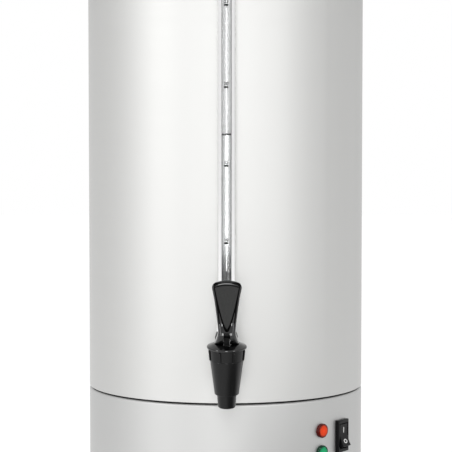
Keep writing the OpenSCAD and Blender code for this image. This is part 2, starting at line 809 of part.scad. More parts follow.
module tap_gasket_inner() color("#8f8f8c") intersection() {
    outwards(tap_axis_z, tank_in_r - tap_gasket_t - over)
        ring(tap_flange_d / 2, shank_d / 2, tap_gasket_t + 2 * over);
    translate([0, 0, tap_axis_z - tap_flange_d]) cylinder(r = tank_in_r, h = 2 * tap_flange_d, $fn = wall_fn);
}

module tap_locknut() color("#c9c9c6") outwards(tap_axis_z, tank_in_r - tap_gasket_t - over - tap_locknut_h)
    hex_nut(tap_locknut_d, shank_d, tap_locknut_h);

rim_out = bonnet_d / 2;
rim_round = 1.4;
bonnet_slope = 2.2;
bonnet_flat = rim_out * 0.66;
bonnet_taper = 2.2;
rib_w = 2.6;
rib_t = 1.6;
rib_h = 9.2;
rib_lean = 5;

module bonnet_profile() {
    polygon([[stem_r + run_gap, neck_h], [stem_r + run_gap, bonnet_h], [bonnet_flat, bonnet_h],
        [rim_out - rim_round, bonnet_h - bonnet_slope],
        [rim_out - rim_round, bonnet_h - bonnet_slope - 2 * rim_round],
        [rim_out - bonnet_taper, 0], [neck_d / 2 + fit_gap, 0], [neck_d / 2 + fit_gap, neck_h]]);
    translate([rim_out - rim_round, bonnet_h - bonnet_slope - rim_round]) intersection() {
        circle(rim_round);
        translate([0, -rim_round]) square(2 * rim_round);
    }
}

module tap_bonnet() color("#111112") tap_axis(chamber_top) {
    rotate_extrude() bonnet_profile();
    around(bonnet_ribs, 180 / bonnet_ribs) translate([0, bonnet_taper - rim_out, 0])
        rotate([rib_lean, 0, 0]) translate([0, 0, rib_h / 2 + over / 2])
            cube([rib_w, rib_t, rib_h], center = true);
}

module tap_stem() color("#202022") difference() {
    union() {
        tap_axis(cup_z + cup_floor) cylinder(r = stem_r, h = stem_flat_z - cup_z - cup_floor);
        tap_axis(stem_flange_z) cylinder(d = stem_flange_d, h = stem_flange_t);
        tap_axis(pin_z) rotate([0, 90, 0]) cylinder(r = eye_r, h = eye_w, center = true);
        tap_axis(stem_flat_z - over) translate([-eye_w / 2, -eye_half, 0])
            cube([eye_w, 2 * eye_half, pin_z - stem_flat_z + over]);
    }
    tap_axis(pin_z) rotate([0, 90, 0]) cylinder(r = pin_r, h = 2 * eye_w, center = true);
}

module valve_cup() color("#c8c2b4") tap_axis(cup_z) difference() {
    union() {
        cylinder(d = cup_d, h = cup_h / 2);
        translate([0, 0, cup_h / 2]) cylinder(d1 = cup_d, d2 = stem_d + cup_neck, h = cup_h / 2);
    }
    translate([0, 0, cup_floor]) cylinder(r = stem_r, h = cup_h);
}

// A tube of six sides along a helix, closed at both ends
coil_sides = 6;
coil_steps = 12;
coil_rings = coil_turns * coil_steps;
coil_span = neck_top - spring_z - wire_d - 4 * touch_gap;
function coil_point(i, k) = let(
        turn = 360 * i / coil_steps,
        side = 360 * k / coil_sides,
        r = coil_d / 2 + wire_d / 2 * cos(side))
    [r * cos(turn), r * sin(turn), coil_span * i / coil_rings + wire_d / 2 * sin(side)];
coil_points = [for (i = [0 : coil_rings]) for (k = [0 : coil_sides - 1]) coil_point(i, k)];
function coil_at(i, k) = i * coil_sides + (k % coil_sides);
coil_walls = [for (i = [0 : coil_rings - 1]) for (k = [0 : coil_sides - 1])
    each [[coil_at(i, k), coil_at(i + 1, k), coil_at(i + 1, k + 1)],
        [coil_at(i, k), coil_at(i + 1, k + 1), coil_at(i, k + 1)]]];
coil_caps = [for (k = [1 : coil_sides - 2]) each [[coil_at(0, 0), coil_at(0, k), coil_at(0, k + 1)],
    [coil_at(coil_rings, 0), coil_at(coil_rings, k + 1), coil_at(coil_rings, k)]]];

module tap_spring() color("#b9b9b6") tap_axis(spring_z + wire_d / 2 + 2 * touch_gap)
    polyhedron(coil_points, concat(coil_walls, coil_caps));

// Lever, drawn about its pin: Z up and -Y forwards

lever_steps = 8;
lever_corner = 3;
lever_arch = 3;
lever_bow = 1.2;
lever_flare = 1.5;
toe_z = 3;
front_z = 12;
back_z = 10;
panel_top = lever_top - 7;
panel_low = 7.5;
panel_edge = 2.2;
panel_tip = 0.8;
function above_waist(z) = pow((z - lever_waist_z) / (lever_top - lever_waist_z), lever_bow);
function below_waist(z) = pow((lever_waist_z - z) / (lever_waist_z + cam_r), lever_flare);
function lever_half(z) = z < lever_waist_z
    ? (lever_w_waist + (lever_w_foot - lever_w_waist) * below_waist(z)) / 2
    : (lever_w_waist + (lever_w_top - lever_w_waist) * above_waist(z)) / 2;
lever_corner_z = lever_top - lever_arch - lever_corner;
lever_shoulder = lever_half(lever_corner_z);
lever_crown = lever_shoulder - lever_corner;
lever_low = [for (i = [0 : lever_steps]) -cam_r + (lever_waist_z + cam_r) * i / lever_steps];
lever_high = [for (i = [1 : lever_steps - 1])
    lever_waist_z + (lever_corner_z - lever_waist_z) * i / lever_steps];
lever_heights = concat(lever_low, lever_high);
lever_right = [for (z = lever_heights) [lever_half(z), z]];
lever_left = [for (i = [len(lever_heights) - 1 : -1 : 0]) [-lever_half(lever_heights[i]), lever_heights[i]]];

// The points of an arc, from one angle to another
arc_steps = 12;
function arc(x, y, r, from, to) = [for (i = [0 : arc_steps])
    let(turn = from + (to - from) * i / arc_steps) [x + r * cos(turn), y + r * sin(turn)]];

module lever_front_view() polygon(concat(lever_right,
    arc(lever_crown, lever_corner_z, lever_corner, 0, 90),
    [for (i = [1 : lever_steps - 1]) let(share = 1 - 2 * i / lever_steps)
        [lever_crown * share, lever_top - lever_arch * share * share]],
    arc(-lever_crown, lever_corner_z, lever_corner, 90, 180),
    lever_left));

// X is the depth, backwards, and Y the height
module lever_side_view() polygon(concat(
    arc(-cam_offset, 0, cam_r, 270, 180),
    [[-cam_offset - cam_r, toe_z], [-lever_front, front_z]],
    arc(lever_t / 2 - lever_front, lever_top - lever_t / 2, lever_t / 2, 180, 0),
    [[lever_back, back_z], [lever_heel, 0], [lever_heel, -cam_r]]));

module lever_panel() polygon([[panel_edge - lever_half(panel_top), panel_top],
    [lever_half(panel_top) - panel_edge, panel_top], [panel_tip, panel_low], [-panel_tip, panel_low]]);

module tap_lever() color("#161617") tap_axis(pin_z) difference() {
    intersection() {
        rotate([90, 0, 0]) linear_extrude(4 * lever_heel, center = true) lever_front_view();
        rotate([90, 0, 90]) linear_extrude(2 * lever_w_top, center = true) lever_side_view();
    }
    translate([0, panel_depth - lever_front, 0]) rotate([90, 0, 0])
        linear_extrude(4 * lever_heel) lever_panel();
    translate([0, 0, slot_top - cam_r]) cube([slot_w, 8 * lever_heel, 2 * cam_r], center = true);
    rotate([0, 90, 0]) cylinder(r = pin_r + run_gap, h = 2 * lever_w_top, center = true);
}

module lever_pin() color("#a9aaaa") tap_axis(pin_z) rotate([0, 90, 0])
    cylinder(r = pin_r, h = 2 * lever_half(0) - 1, center = true);

// Gauge

module gauge_axis(z) { translate([0, -gauge_y, z]) children(); }

module gauge_seal() color("#3a3a3a") gauge_axis(port_top) ring(port_d / 2, glass_r, gauge_seal_h);

module gauge_nut() color("#131314") gauge_axis(gauge_nut_z) difference() {
    union() {
        cylinder(d = gauge_nut_d, h = gauge_nut_h - nut_slope, $fn = 8);
        translate([0, 0, gauge_nut_h - nut_slope])
            cylinder(d1 = gauge_nut_d * nut_edge, d2 = shield_d + over, h = nut_slope);
    }
    translate([0, 0, -over])
        cylinder(d = port_d + 2 * touch_gap, h = port_top + gauge_seal_h - gauge_nut_z + over);
    cylinder(r = glass_r + fit_gap, h = gauge_nut_h + over);
}

module gauge_glass() color("#dfe8ea") gauge_axis(glass_low)
    ring(glass_r, glass_r - glass_wall, glass_top - glass_low);

module gauge_shield() color("silver") gauge_axis(gauge_nut_top) difference() {
    ring(shield_r, shield_in_r, shield_top - gauge_nut_top);
    translate([-shield_slot / 2, -shield_d, -over])
        cube([shield_slot, shield_d, shield_top - gauge_nut_top + 2 * over]);
}

module shield_ferrule() color("#d6d8d8") gauge_axis(gauge_nut_top) difference() {
    ring(head_d / 2, shield_r, ferrule_h);
    translate([-shield_slot / 2, -head_d, ferrule_h / 2]) cube([shield_slot, head_d, ferrule_h]);
}

module gauge_head() color("#d6d8d8") difference() {
    union() {
        gauge_axis(head_low) cylinder(d = head_d, h = head_h);
        outwards(head_z, tank_in_r - head_stud_in) cylinder(d = head_stud_d, h = gauge_reach + head_stud_in);
        outwards(head_z, tank_r + head_gasket_t)
            cylinder(d = head_stud_d + 2 * head_flange_w, h = head_flange_t);
    }
    gauge_axis(head_low - over) cylinder(r = shield_r, h = shield_top - head_low + over);
    gauge_axis(head_low) cylinder(r = glass_r + fit_gap, h = glass_top + head_room - head_low);
    gauge_axis(head_low) cylinder(d = head_bore, h = head_z - head_low);
    outwards(head_z, tank_in_r - head_stud_in - over)
        cylinder(d = head_bore, h = gauge_reach + head_stud_in + over);
}

module head_gasket() color("#3a3a3a") difference() {
    outwards(head_z, tank_r - over)
        ring(head_stud_d / 2 + head_flange_w, head_stud_d / 2, head_gasket_t + over);
    translate([0, 0, head_z - head_h]) cylinder(r = tank_r, h = 2 * head_h, $fn = wall_fn);
}

module head_nut() color("#9b9b9b") outwards(head_z, head_nut_out - head_nut_h)
    hex_nut(head_nut_d, head_stud_d, head_nut_h);

// Lid

module lid_dome() intersection() {
    translate([0, lid_dome_z]) difference() { circle(lid_dome_r); circle(lid_dome_r - lid_wall); }
    translate([0, lid_z]) square([lid_collar_r, 2 * lid_rise]);
}

module lid() color("silver") difference() {
    rotate_extrude($fn = 128) {
        lid_dome();
        translate([lid_collar_r - lid_wall, lid_z])
            square([lid_r - lid_edge_r - lid_collar_r + lid_wall, lid_wall]);
        translate([lid_r - lid_edge_r, lid_z + lid_edge_r]) circle(lid_edge_r);
    }
    translate([0, 0, lid_z]) cylinder(d = knob_screw_d + 2 * fit_gap, h = 2 * lid_rise);
    translate([0, steam_hole_r, lid_z]) cylinder(d = steam_hole_d, h = 2 * lid_rise);
}

module lid_collar() color("silver") translate([0, 0, lid_z - lid_collar_h])
    ring(lid_collar_r, lid_collar_r - lid_wall, lid_collar_h);

module lid_knob() color("#151516") translate([0, 0, lid_top_z]) difference() {
    rotate_extrude() {
        square([lid_knob_foot_d / 2, knob_foot_h]);
        translate([0, knob_foot_h]) square([knob_waist_r, lid_knob_h - knob_foot_h - knob_head_h]);
        translate([0, lid_knob_h - knob_head_h]) polygon([[0, 0], [knob_waist_r, 0],
            [knob_edge_r, knob_head_h / 2 - knob_edge], [knob_edge_r, knob_head_h / 2 + knob_edge],
            [lid_knob_d * knob_flat, knob_head_h], [0, knob_head_h]]);
        translate([knob_edge_r, lid_knob_h - knob_head_h / 2]) intersection() {
            circle(knob_edge);
            translate([0, -knob_edge]) square(2 * knob_edge);
        }
    }
    translate([0, 0, -over]) cylinder(d = knob_screw_d, h = knob_screw_l + over);
}

module lid_knob_screw() color("#9b9b9b") translate([0, 0, lid_top_z - lid_wall - touch_gap]) {
    cylinder(d = knob_screw_d, h = knob_screw_l);
    translate([0, 0, -knob_screw_head_h]) cylinder(d = knob_screw_head_d, h = knob_screw_head_h);
}

// Handles, modelled at the front and turned to each side

handle_leg_x = handle_w / 2;
handle_straight = handle_w - 2 * handle_bend_r;

module handle_bar() {
    translate([-handle_straight / 2, -grip_y, handle_z]) rotate([0, 90, 0])
        cylinder(r = handle_r, h = handle_straight);
    for (side = [-1, 1]) {
        translate([side * handle_straight / 2, -grip_y + handle_bend_r, handle_z])
            rotate([0, 0, side > 0 ? -90 : 180]) rotate_extrude(angle = 90)
                translate([handle_bend_r, 0]) circle(handle_r);
        translate([side * handle_leg_x, -grip_y + handle_bend_r, handle_z]) rotate([-90, 0, 0])
            cylinder(r = handle_r, h = handle_reach - handle_bend_r + tank_r / 4);
    }
}

module handle_screw_place() {
    for (side = [-1, 1]) translate([side * handle_leg_x, -grip_y, handle_z]) rotate([-90, 0, 0]) children();
}

// Where a leg meets the bracket, measured back from the middle of the grip
leg_l = grip_y - sqrt(bracket_r * bracket_r - handle_leg_x * handle_leg_x);
screw_seat = 6;

module handle() difference() {
    handle_bar();
    translate([0, 0, handle_z - handle_d]) cylinder(r = bracket_r, h = 2 * handle_d, $fn = wall_fn);
    handle_screw_place() {
        translate([0, 0, -2 * handle_d])
            cylinder(d = handle_screw_head_d + 2 * fit_gap, h = 2 * handle_d + screw_seat);
        cylinder(d = handle_screw_d, h = tank_r);
    }
}

module handle_bracket() difference() {
    intersection() {
        translate([0, 0, handle_z - bracket_h / 2]) ring(bracket_r, tank_r, bracket_h);
        translate([-handle_leg_x - bracket_over, -2 * tank_r, handle_z - bracket_h / 2])
            cube([handle_w + 2 * bracket_over, 2 * tank_r, bracket_h]);
    }
    handle_screw_place() cylinder(d = handle_screw_d, h = tank_r);
}

module handle_screw_pair() difference() {
    handle_screw_place() {
        translate([0, 0, screw_seat - handle_screw_head_h])
            cylinder(d = handle_screw_head_d, h = handle_screw_head_h);
        translate([0, 0, screw_seat]) cylinder(d = handle_screw_d, h = leg_l);
    }
    translate([0, 0, handle_z - handle_d]) cylinder(r = tank_r + touch_gap, h = 2 * handle_d, $fn = wall_fn);
}

module handle_right() color("#151516") at_angle(90) handle();
module handle_left() color("#151516") at_angle(-90) handle();
module handle_bracket_right() color("silver") at_angle(90) handle_bracket();
module handle_bracket_left() color("silver") at_angle(-90) handle_bracket();
module handle_screws() color("#9b9b9b") for (side = [-90, 90]) at_angle(side) handle_screw_pair();

foot_ring();
base_skirt();
bottom_plate();
base_screws();
base_gasket();
tank_shell();
tank_bottom();
tank_studs();
tank_nuts();
heating_plate();
heating_element();
thermostat_body();
thermostat_nut();
thermostat_shaft();
thermostat_knob();
thermostat_bulb();
bulb_clip();
limiter_body();
reset_button();
limiter_screws();
terminal_block();
terminal_screws();
switch_housing();
switch_rocker();
red_lamp_lens();
red_lamp_body();
green_lamp_lens();
green_lamp_body();
lamp_clips();
gland_body();
gland_seal();
gland_nut();
gland_locknut();
tap_body();
tap_gasket_outer();
tap_gasket_inner();
tap_locknut();
tap_bonnet();
tap_stem();
valve_cup();
tap_spring();
tap_lever();
lever_pin();
gauge_seal();
gauge_nut();
gauge_glass();
gauge_shield();
shield_ferrule();
gauge_head();
head_gasket();
head_nut();
lid();
lid_collar();
lid_knob();
lid_knob_screw();
handle_left();
handle_right();
handle_bracket_left();
handle_bracket_right();
handle_screws();
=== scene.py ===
import math

import bpy
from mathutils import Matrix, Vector


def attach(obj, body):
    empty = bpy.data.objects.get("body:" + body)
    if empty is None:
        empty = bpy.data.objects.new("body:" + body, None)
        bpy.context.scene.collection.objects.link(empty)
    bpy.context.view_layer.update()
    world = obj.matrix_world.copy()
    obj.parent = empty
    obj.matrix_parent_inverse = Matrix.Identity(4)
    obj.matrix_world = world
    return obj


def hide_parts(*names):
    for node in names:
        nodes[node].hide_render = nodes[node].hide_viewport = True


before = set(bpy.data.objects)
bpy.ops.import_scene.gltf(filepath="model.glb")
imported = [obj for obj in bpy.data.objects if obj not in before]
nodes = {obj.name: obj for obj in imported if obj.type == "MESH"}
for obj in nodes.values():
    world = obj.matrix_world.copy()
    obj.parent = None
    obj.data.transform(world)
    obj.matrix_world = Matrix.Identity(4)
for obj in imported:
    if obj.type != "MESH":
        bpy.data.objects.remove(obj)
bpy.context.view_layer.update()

# Lengths are written in millimetres, as in the solids, and turned to metres by MM
MM = 0.001
TANK_R = 145.0
TAP_Y = -203.0
SHANK_Z = 140.0
TAP_LEAN = 8.0
PIN_Z = 177.6
GAUGE_Y = -161.0
SWITCH_TURN = 54.0
LAMP_TURN = 41.5
DIAL_TURN = 125.0


# Working with the modeller

def clear_selection():
    if bpy.context.mode != "OBJECT":
        bpy.ops.object.mode_set(mode="OBJECT")
    bpy.ops.object.select_all(action="DESELECT")


def pick(*pieces):
    clear_selection()
    for piece in pieces:
        piece.select_set(True)
    bpy.context.view_layer.objects.active = pieces[0]


def started(name):
    piece = bpy.context.object
    piece.name = name
    piece.data.name = name
    return piece


def edit(piece):
    pick(piece)
    bpy.ops.object.mode_set(mode="EDIT")
    bpy.ops.mesh.select_mode(type="VERT")
    bpy.ops.mesh.select_all(action="SELECT")


def done():
    bpy.ops.object.mode_set(mode="OBJECT")


def choose(piece, kind, test):
    """Selects the vertices, edges or faces whose middle, in millimetres, passes the test."""
    bpy.ops.mesh.select_mode(type=kind)
    bpy.ops.mesh.select_all(action="DESELECT")
    bpy.ops.object.mode_set(mode="OBJECT")
    mesh = piece.data
    points = [vertex.co / MM for vertex in mesh.vertices]
    if kind == "VERT":
        for vertex, point in zip(mesh.vertices, points):
            vertex.select = test(point)
    elif kind == "EDGE":
        for side in mesh.edges:
            side.select = test((points[side.vertices[0]] + points[side.vertices[1]]) / 2)
    else:
        for face in mesh.polygons:
            face.select = test(face.center / MM)
    bpy.ops.object.mode_set(mode="EDIT")


def true_up(piece, merge=True):
    """Merges doubled points and turns all faces outwards."""
    edit(piece)
    if merge:
        bpy.ops.mesh.remove_doubles(threshold=0.002 * MM)
    bpy.ops.mesh.normals_make_consistent(inside=False)
    done()
    return piece


def set_at(piece, place=(0, 0, 0), turn=(0, 0, 0)):
    """Moves a piece to its place, in millimetres and degrees, and keeps that in its mesh."""
    piece.location = Vector(place) * MM
    piece.rotation_euler = [math.radians(angle) for angle in turn]
    pick(piece)
    bpy.ops.object.transform_apply(location=True, rotation=True, scale=True)
    return piece


def set_outwards(piece, turn, height, radius):
    """Points a piece's Z axis away from the tank, at an angle from the tap."""
    angle = math.radians(turn)
    return set_at(piece, (radius * math.sin(angle), -radius * math.cos(angle), height), (90, 0, turn))


def modify(piece, kind, **settings):
    modifier = piece.modifiers.new(kind.lower(), kind)
    for name, value in settings.items():
        setattr(modifier, name, value)
    pick(piece)
    bpy.ops.object.modifier_apply(modifier=modifier.name)
    return piece


def cut(piece, *tools):
    for tool in tools:
        modify(piece, "BOOLEAN", operation="DIFFERENCE", solver="EXACT", object=tool)
        bpy.data.objects.remove(tool)
    return piece


def soften(piece, width, segments=2, angle=35):
    return modify(piece, "BEVEL", width=width * MM, segments=segments, limit_method="ANGLE",
                  angle_limit=math.radians(angle))


def joined(*pieces):
    pick(*pieces)
    bpy.ops.object.join()
    return pieces[0]


def copied(piece, name):
    pick(piece)
    bpy.ops.object.duplicate()
    return started(name)


def rounded(corners, steps=5):
    """A profile of (radius, height, fillet) corners, with each fillet as a run of points."""
    profile = []
    for i, corner in enumerate(corners):
        point = Vector(corner[:2])
        fillet = corner[2] if len(corner) > 2 else 0
        if not fillet:
            profile.append(tuple(point))
            continue
        back = (Vector(corners[i - 1][:2]) - point).normalized()
        on = (Vector(corners[(i + 1) % len(corners)][:2]) - point).normalized()
        half = back.angle(on) / 2
        centre = point + (back + on).normalized() * fillet / math.sin(half)
        first = point + back * fillet / math.tan(half) - centre
        last = point + on * fillet / math.tan(half) - centre
        for step in range(steps + 1):
            spoke = first.lerp(last, step / steps).normalized() * fillet
            profile.append(tuple(centre + spoke))
    return profile


def arc(x, z, radius, start, end, steps=12):
    return [(x + radius * math.cos(math.radians(start + (end - start) * i / steps)),
             z + radius * math.sin(math.radians(start + (end - start) * i / steps)))
            for i in range(steps + 1)]


def turned(name, profile, sides=96, ring=False):
    """Turns a profile about Z: a circle is extruded and resized from point to point.

    The two ends are closed by faces, or a ring's last point goes back to its first."""
    clear_selection()
    radius, height = profile[0]
    bpy.ops.mesh.primitive_circle_add(vertices=sides, radius=radius * MM,
                                      fill_type="NOTHING" if ring else "NGON")
    piece = started(name)
    edit(piece)
    bpy.ops.transform.translate(value=(0, 0, height * MM))
    for new_radius, new_height in profile[1:] + ([profile[0]] if ring else []):
        bpy.ops.mesh.extrude_region_move(
            TRANSFORM_OT_translate={"value": (0, 0, (new_height - height) * MM)})
        size = new_radius / radius
        bpy.ops.transform.resize(value=(size, size, 1), center_override=(0, 0, new_height * MM))
        radius, height = new_radius, new_height
    done()
    return true_up(piece)


def block(name, size, place=(0, 0, 0), bevel=0.0, segments=3):
    """A box of the given size, with all its edges rounded when a bevel is given."""
    clear_selection()
    bpy.ops.mesh.primitive_cube_add(size=MM)
    piece = started(name)
    piece.scale = size
    set_at(piece, place)
    if bevel:
        edit(piece)
        bpy.ops.mesh.bevel(offset=bevel * MM, segments=segments, affect="EDGES")
        done()
    return piece


def prism(name, outline, depth):
    """An outline in XY, drawn point by point and extruded along Z, with its middle at the origin."""
    clear_selection()
    bpy.ops.mesh.primitive_circle_add(vertices=len(outline), radius=MM, fill_type="NGON")
    piece = started(name)
    for vertex, point in zip(piece.data.vertices, outline):
        vertex.co = Vector((*point, -depth / 2)) * MM
    edit(piece)
    bpy.ops.mesh.extrude_region_move(TRANSFORM_OT_translate={"value": (0, 0, depth * MM)})
    done()
    return true_up(piece)


def rod(name, radius, length, sides=48):
    """A plain cylinder along Z from the origin, for cutting."""
    return turned(name, [(radius, 0), (radius, length)], sides)


def numeral(name, text, height, thickness=0.03):
    """Figures lying in XY, centred on the origin, as a thin solid."""
    clear_selection()
    bpy.ops.object.text_add()
    figures = bpy.context.object
    figures.data.body = text
    figures.data.align_x = "CENTER"
    figures.data.align_y = "CENTER"
    figures.data.size = height * MM / 0.7
    figures.data.extrude = thickness / 2 * MM
    figures.data.offset = 0.08 * MM
    figures.data.resolution_u = 3
    pick(figures)
    bpy.ops.object.convert(target="MESH")
    return started(name)


def wrapped(piece, radius, turn, height, centre=(0, 0)):
    """Bends a flat print round an upright cylinder: X becomes the angle, Y the height."""
    for vertex in piece.data.vertices:
        point = vertex.co / MM
        angle = math.radians(turn) + point.x / radius
        reach = radius + point.z
        vertex.co = Vector((centre[0] + reach * math.sin(angle), centre[1] - reach * math.cos(angle),
                            height + point.y)) * MM
    return piece


# Finishes

def new_finish(name, color, roughness, **sockets):
    finish = bpy.data.materials.new(name)
    finish.use_nodes = True
    surface = finish.node_tree.nodes["Principled BSDF"]
    surface.inputs["Base Color"].default_value = (*color, 1)
    surface.inputs["Roughness"].default_value = roughness
    for socket, value in sockets.items():
        surface.inputs[socket.replace("_", " ")].default_value = value
    return finish, finish.node_tree, surface


def node(tree, kind, **settings):
    made = tree.nodes.new(kind)
    for name, value in settings.items():
        setattr(made, name, value)
    return made


def grain(tree, scale, detail=4.0, roughness=0.55):
    """A noise in object space, finer along the axes with a larger scale (waves per metre)."""
    place = node(tree, "ShaderNodeTexCoord")
    stretch = node(tree, "ShaderNodeMapping")
    stretch.inputs["Scale"].default_value = scale
    noise = node(tree, "ShaderNodeTexNoise")
    noise.inputs["Scale"].default_value = 1.0
    noise.inputs["Detail"].default_value = detail
    noise.inputs["Roughness"].default_value = roughness
    tree.links.new(place.outputs["Object"], stretch.inputs["Vector"])
    tree.links.new(stretch.outputs["Vector"], noise.inputs["Vector"])
    return noise.outputs["Fac"]


def ramp(tree, fac, *stops):
    colors = node(tree, "ShaderNodeValToRGB")
    elements = colors.color_ramp.elements
    while len(elements) < len(stops):
        elements.new(0.5)
    for element, (position, color) in zip(elements, stops):
        element.position = position
        element.color = (*color, 1)
    tree.links.new(fac, colors.inputs["Fac"])
    return colors.outputs["Color"]


def between(tree, fac, low, high):
    """Maps the middle of a noise to a range of numbers."""
    span = node(tree, "ShaderNodeMapRange")
    span.inputs["From Min"].default_value = 0.3
    span.inputs["From Max"].default_value = 0.7
    span.inputs["To Min"].default_value = low
    span.inputs["To Max"].default_value = high
    tree.links.new(fac, span.inputs["Value"])
    return span.outputs["Result"]


def bumped(tree, surface, height, strength, distance):
    bump = node(tree, "ShaderNodeBump")
    bump.inputs["Strength"].default_value = strength
    bump.inputs["Distance"].default_value = distance * MM
    tree.links.new(height, bump.inputs["Height"])
    tree.links.new(bump.outputs["Normal"], surface.inputs["Normal"])


def shaded(color, factor):
    return tuple(min(1.0, channel * factor) for channel in color)


def grained(name, color, rough, scale, shade=0.06, bump=0.1, depth=0.02, detail=4.0, **sockets):
    """A finish whose colour, gloss and surface all follow one grain."""
    finish, tree, surface = new_finish(name, color, sum(rough) / 2, **sockets)
    fac = grain(tree, scale, detail)
    tint = ramp(tree, fac, (0.3, shaded(color, 1 - shade)), (0.7, shaded(color, 1 + shade)))
    tree.links.new(tint, surface.inputs["Base Color"])
    tree.links.new(between(tree, fac, *rough), surface.inputs["Roughness"])
    bumped(tree, surface, fac, bump, depth)
    return finish


STEEL_COLOR = (0.52, 0.52, 0.512)
finishes = {
    "steel": grained("satin_steel", STEEL_COLOR, (0.56, 0.6), (3, 3, 900), 0.012, 0.03, 0.01, Metallic=1.0),
    "base_steel": grained("base_steel", (0.475, 0.476, 0.471), (0.54, 0.58), (3, 3, 900), 0.012, 0.03, 0.01,
                          Metallic=1.0),
    "plate_steel": grained("plate_steel", (0.44, 0.44, 0.43), (0.4, 0.5), (400, 6, 6), 0.06, Metallic=1.0),
    "polished": grained("polished_steel", (0.8, 0.8, 0.8), (0.1, 0.16), (30, 30, 500), 0.02, 0.03, 0.01,
                        Metallic=1.0),
    "screw_steel": grained("plated_steel", (0.5, 0.5, 0.49), (0.25, 0.4), (250, 250, 250), 0.1, 0.1, 0.02,
                           Metallic=1.0),
    "black_rubber": grained("black_rubber", (0.008, 0.008, 0.008), (0.6, 0.8), (700, 700, 700), 0.3, 0.2,
                            0.05, Specular_IOR_Level=0.2),
    "silicone": grained("pale_silicone", (0.5, 0.48, 0.43), (0.45, 0.6), (500, 500, 500), 0.08, 0.1, 0.02),
    "tap_black": grained("gloss_black", (0.004, 0.004, 0.0042), (0.06, 0.1), (160, 160, 160), 0.15, 0.04,
                         0.02, Specular_IOR_Level=0.27),
    "cap_black": grained("polished_black", (0.003, 0.003, 0.0032), (0.04, 0.07), (160, 160, 160), 0.15,
                         0.03, 0.02, Specular_IOR_Level=0.5),
    "lever_panel": grained("satin_panel", (0.028, 0.028, 0.0275), (0.5, 0.6), (900, 900, 900), 0.2, 0.15,
                           0.03, Specular_IOR_Level=0.2),
    "gasket_black_and_painted_shade": grained("gasket_black_and_painted_shade", (0.002, 0.002, 0.002), (0.7, 0.8), (900, 900, 900), 0.2, 0.1,
                            0.02, Specular_IOR_Level=0.05),
    "handle_black": grained("moulded_black", (0.012, 0.012, 0.0125), (0.3, 0.42), (900, 900, 900), 0.2, 0.12,
                            0.03, Specular_IOR_Level=0.25),
    "switch_black": grained("switch_black", (0.004, 0.004, 0.0044), (0.28, 0.38), (1200, 1200, 1200), 0.2,
                            0.1, 0.02, Specular_IOR_Level=0.12),
    "heater_alloy": grained("cast_alloy", (0.45, 0.45, 0.46), (0.45, 0.6), (300, 300, 300), 0.12, 0.2, 0.05,
                            Metallic=1.0),
    "element_steel": grained("tinted_steel", (0.2, 0.17, 0.14), (0.35, 0.5), (60, 60, 60), 0.3, 0.1, 0.02,
                             Metallic=1.0),
    "brass": grained("turned_brass", (0.6, 0.42, 0.16), (0.25, 0.35), (200, 200, 900), 0.08, 0.05, 0.01,
                     Metallic=1.0),
    "copper": grained("drawn_copper", (0.6, 0.28, 0.15), (0.25, 0.4), (20, 600, 600), 0.12, 0.05, 0.01,
                      Metallic=1.0),
    "ivory_plastic": grained("ivory_plastic", (0.62, 0.58, 0.47), (0.4, 0.5), (800, 800, 800), 0.05, 0.08,
                             0.02),
    "red_button": grained("red_button", (0.4, 0.02, 0.012), (0.3, 0.4), (700, 700, 700), 0.1, 0.08, 0.02),
    # The shield's inside strip is white with a painted glow, which stands in for light reaching it through
    # the glass
    "shield_inside_painted_glow": grained("shield_inside_painted_glow", (0.88, 0.88, 0.88), (0.2, 0.24), (300, 300, 40), 0.02, 0.02,
                             0.01, Metallic=0.15, Emission_Color=(1, 1, 1, 1), Emission_Strength=0.4),
    "white_print": grained("white_print", (0.8, 0.8, 0.78), (0.4, 0.5), (900, 900, 900), 0.04, 0.05, 0.01),
    "black_print": grained("black_print", (0.004, 0.004, 0.004), (0.6, 0.7), (900, 900, 900), 0.2, 0.05,
                           0.01, Specular_IOR_Level=0.05),
    # Grey painted shade for the shield's inner side walls and the cut lips of its slot
    "shield_painted_shade": grained("shield_painted_shade", (0.2, 0.2, 0.2), (0.5, 0.6), (300, 300, 40), 0.05, 0.05, 0.01,
                            Specular_IOR_Level=0.2),
}


def weld_line(finish, half_width):
    """Darkens a narrow upright line at the back of a sheet: the tank's welded seam."""
    tree = finish.node_tree
    surface = tree.nodes["Principled BSDF"]
    place = node(tree, "ShaderNodeTexCoord")
    axes = node(tree, "ShaderNodeSeparateXYZ")
    tree.links.new(place.outputs["Object"], axes.inputs["Vector"])
    aside = node(tree, "ShaderNodeMath", operation="ABSOLUTE")
    tree.links.new(axes.outputs["X"], aside.inputs[0])
    near = node(tree, "ShaderNodeMath", operation="LESS_THAN")
    near.inputs[1].default_value = half_width * MM
    tree.links.new(aside.outputs["Value"], near.inputs[0])
    behind = node(tree, "ShaderNodeMath", operation="GREATER_THAN")
    behind.inputs[1].default_value = 0.1
    tree.links.new(axes.outputs["Y"], behind.inputs[0])
    on_seam = node(tree, "ShaderNodeMath", operation="MULTIPLY")
    tree.links.new(near.outputs["Value"], on_seam.inputs[0])
    tree.links.new(behind.outputs["Value"], on_seam.inputs[1])
    sheet = surface.inputs["Base Color"].links[0].from_socket
    mix = node(tree, "ShaderNodeMix", data_type="RGBA")
    tree.links.new(on_seam.outputs["Value"], mix.inputs["Factor"])
    tree.links.new(sheet, mix.inputs["A"])
    mix.inputs["B"].default_value = (*shaded(STEEL_COLOR, 0.72), 1)
    tree.links.new(mix.outputs["Result"], surface.inputs["Base Color"])
    return finish


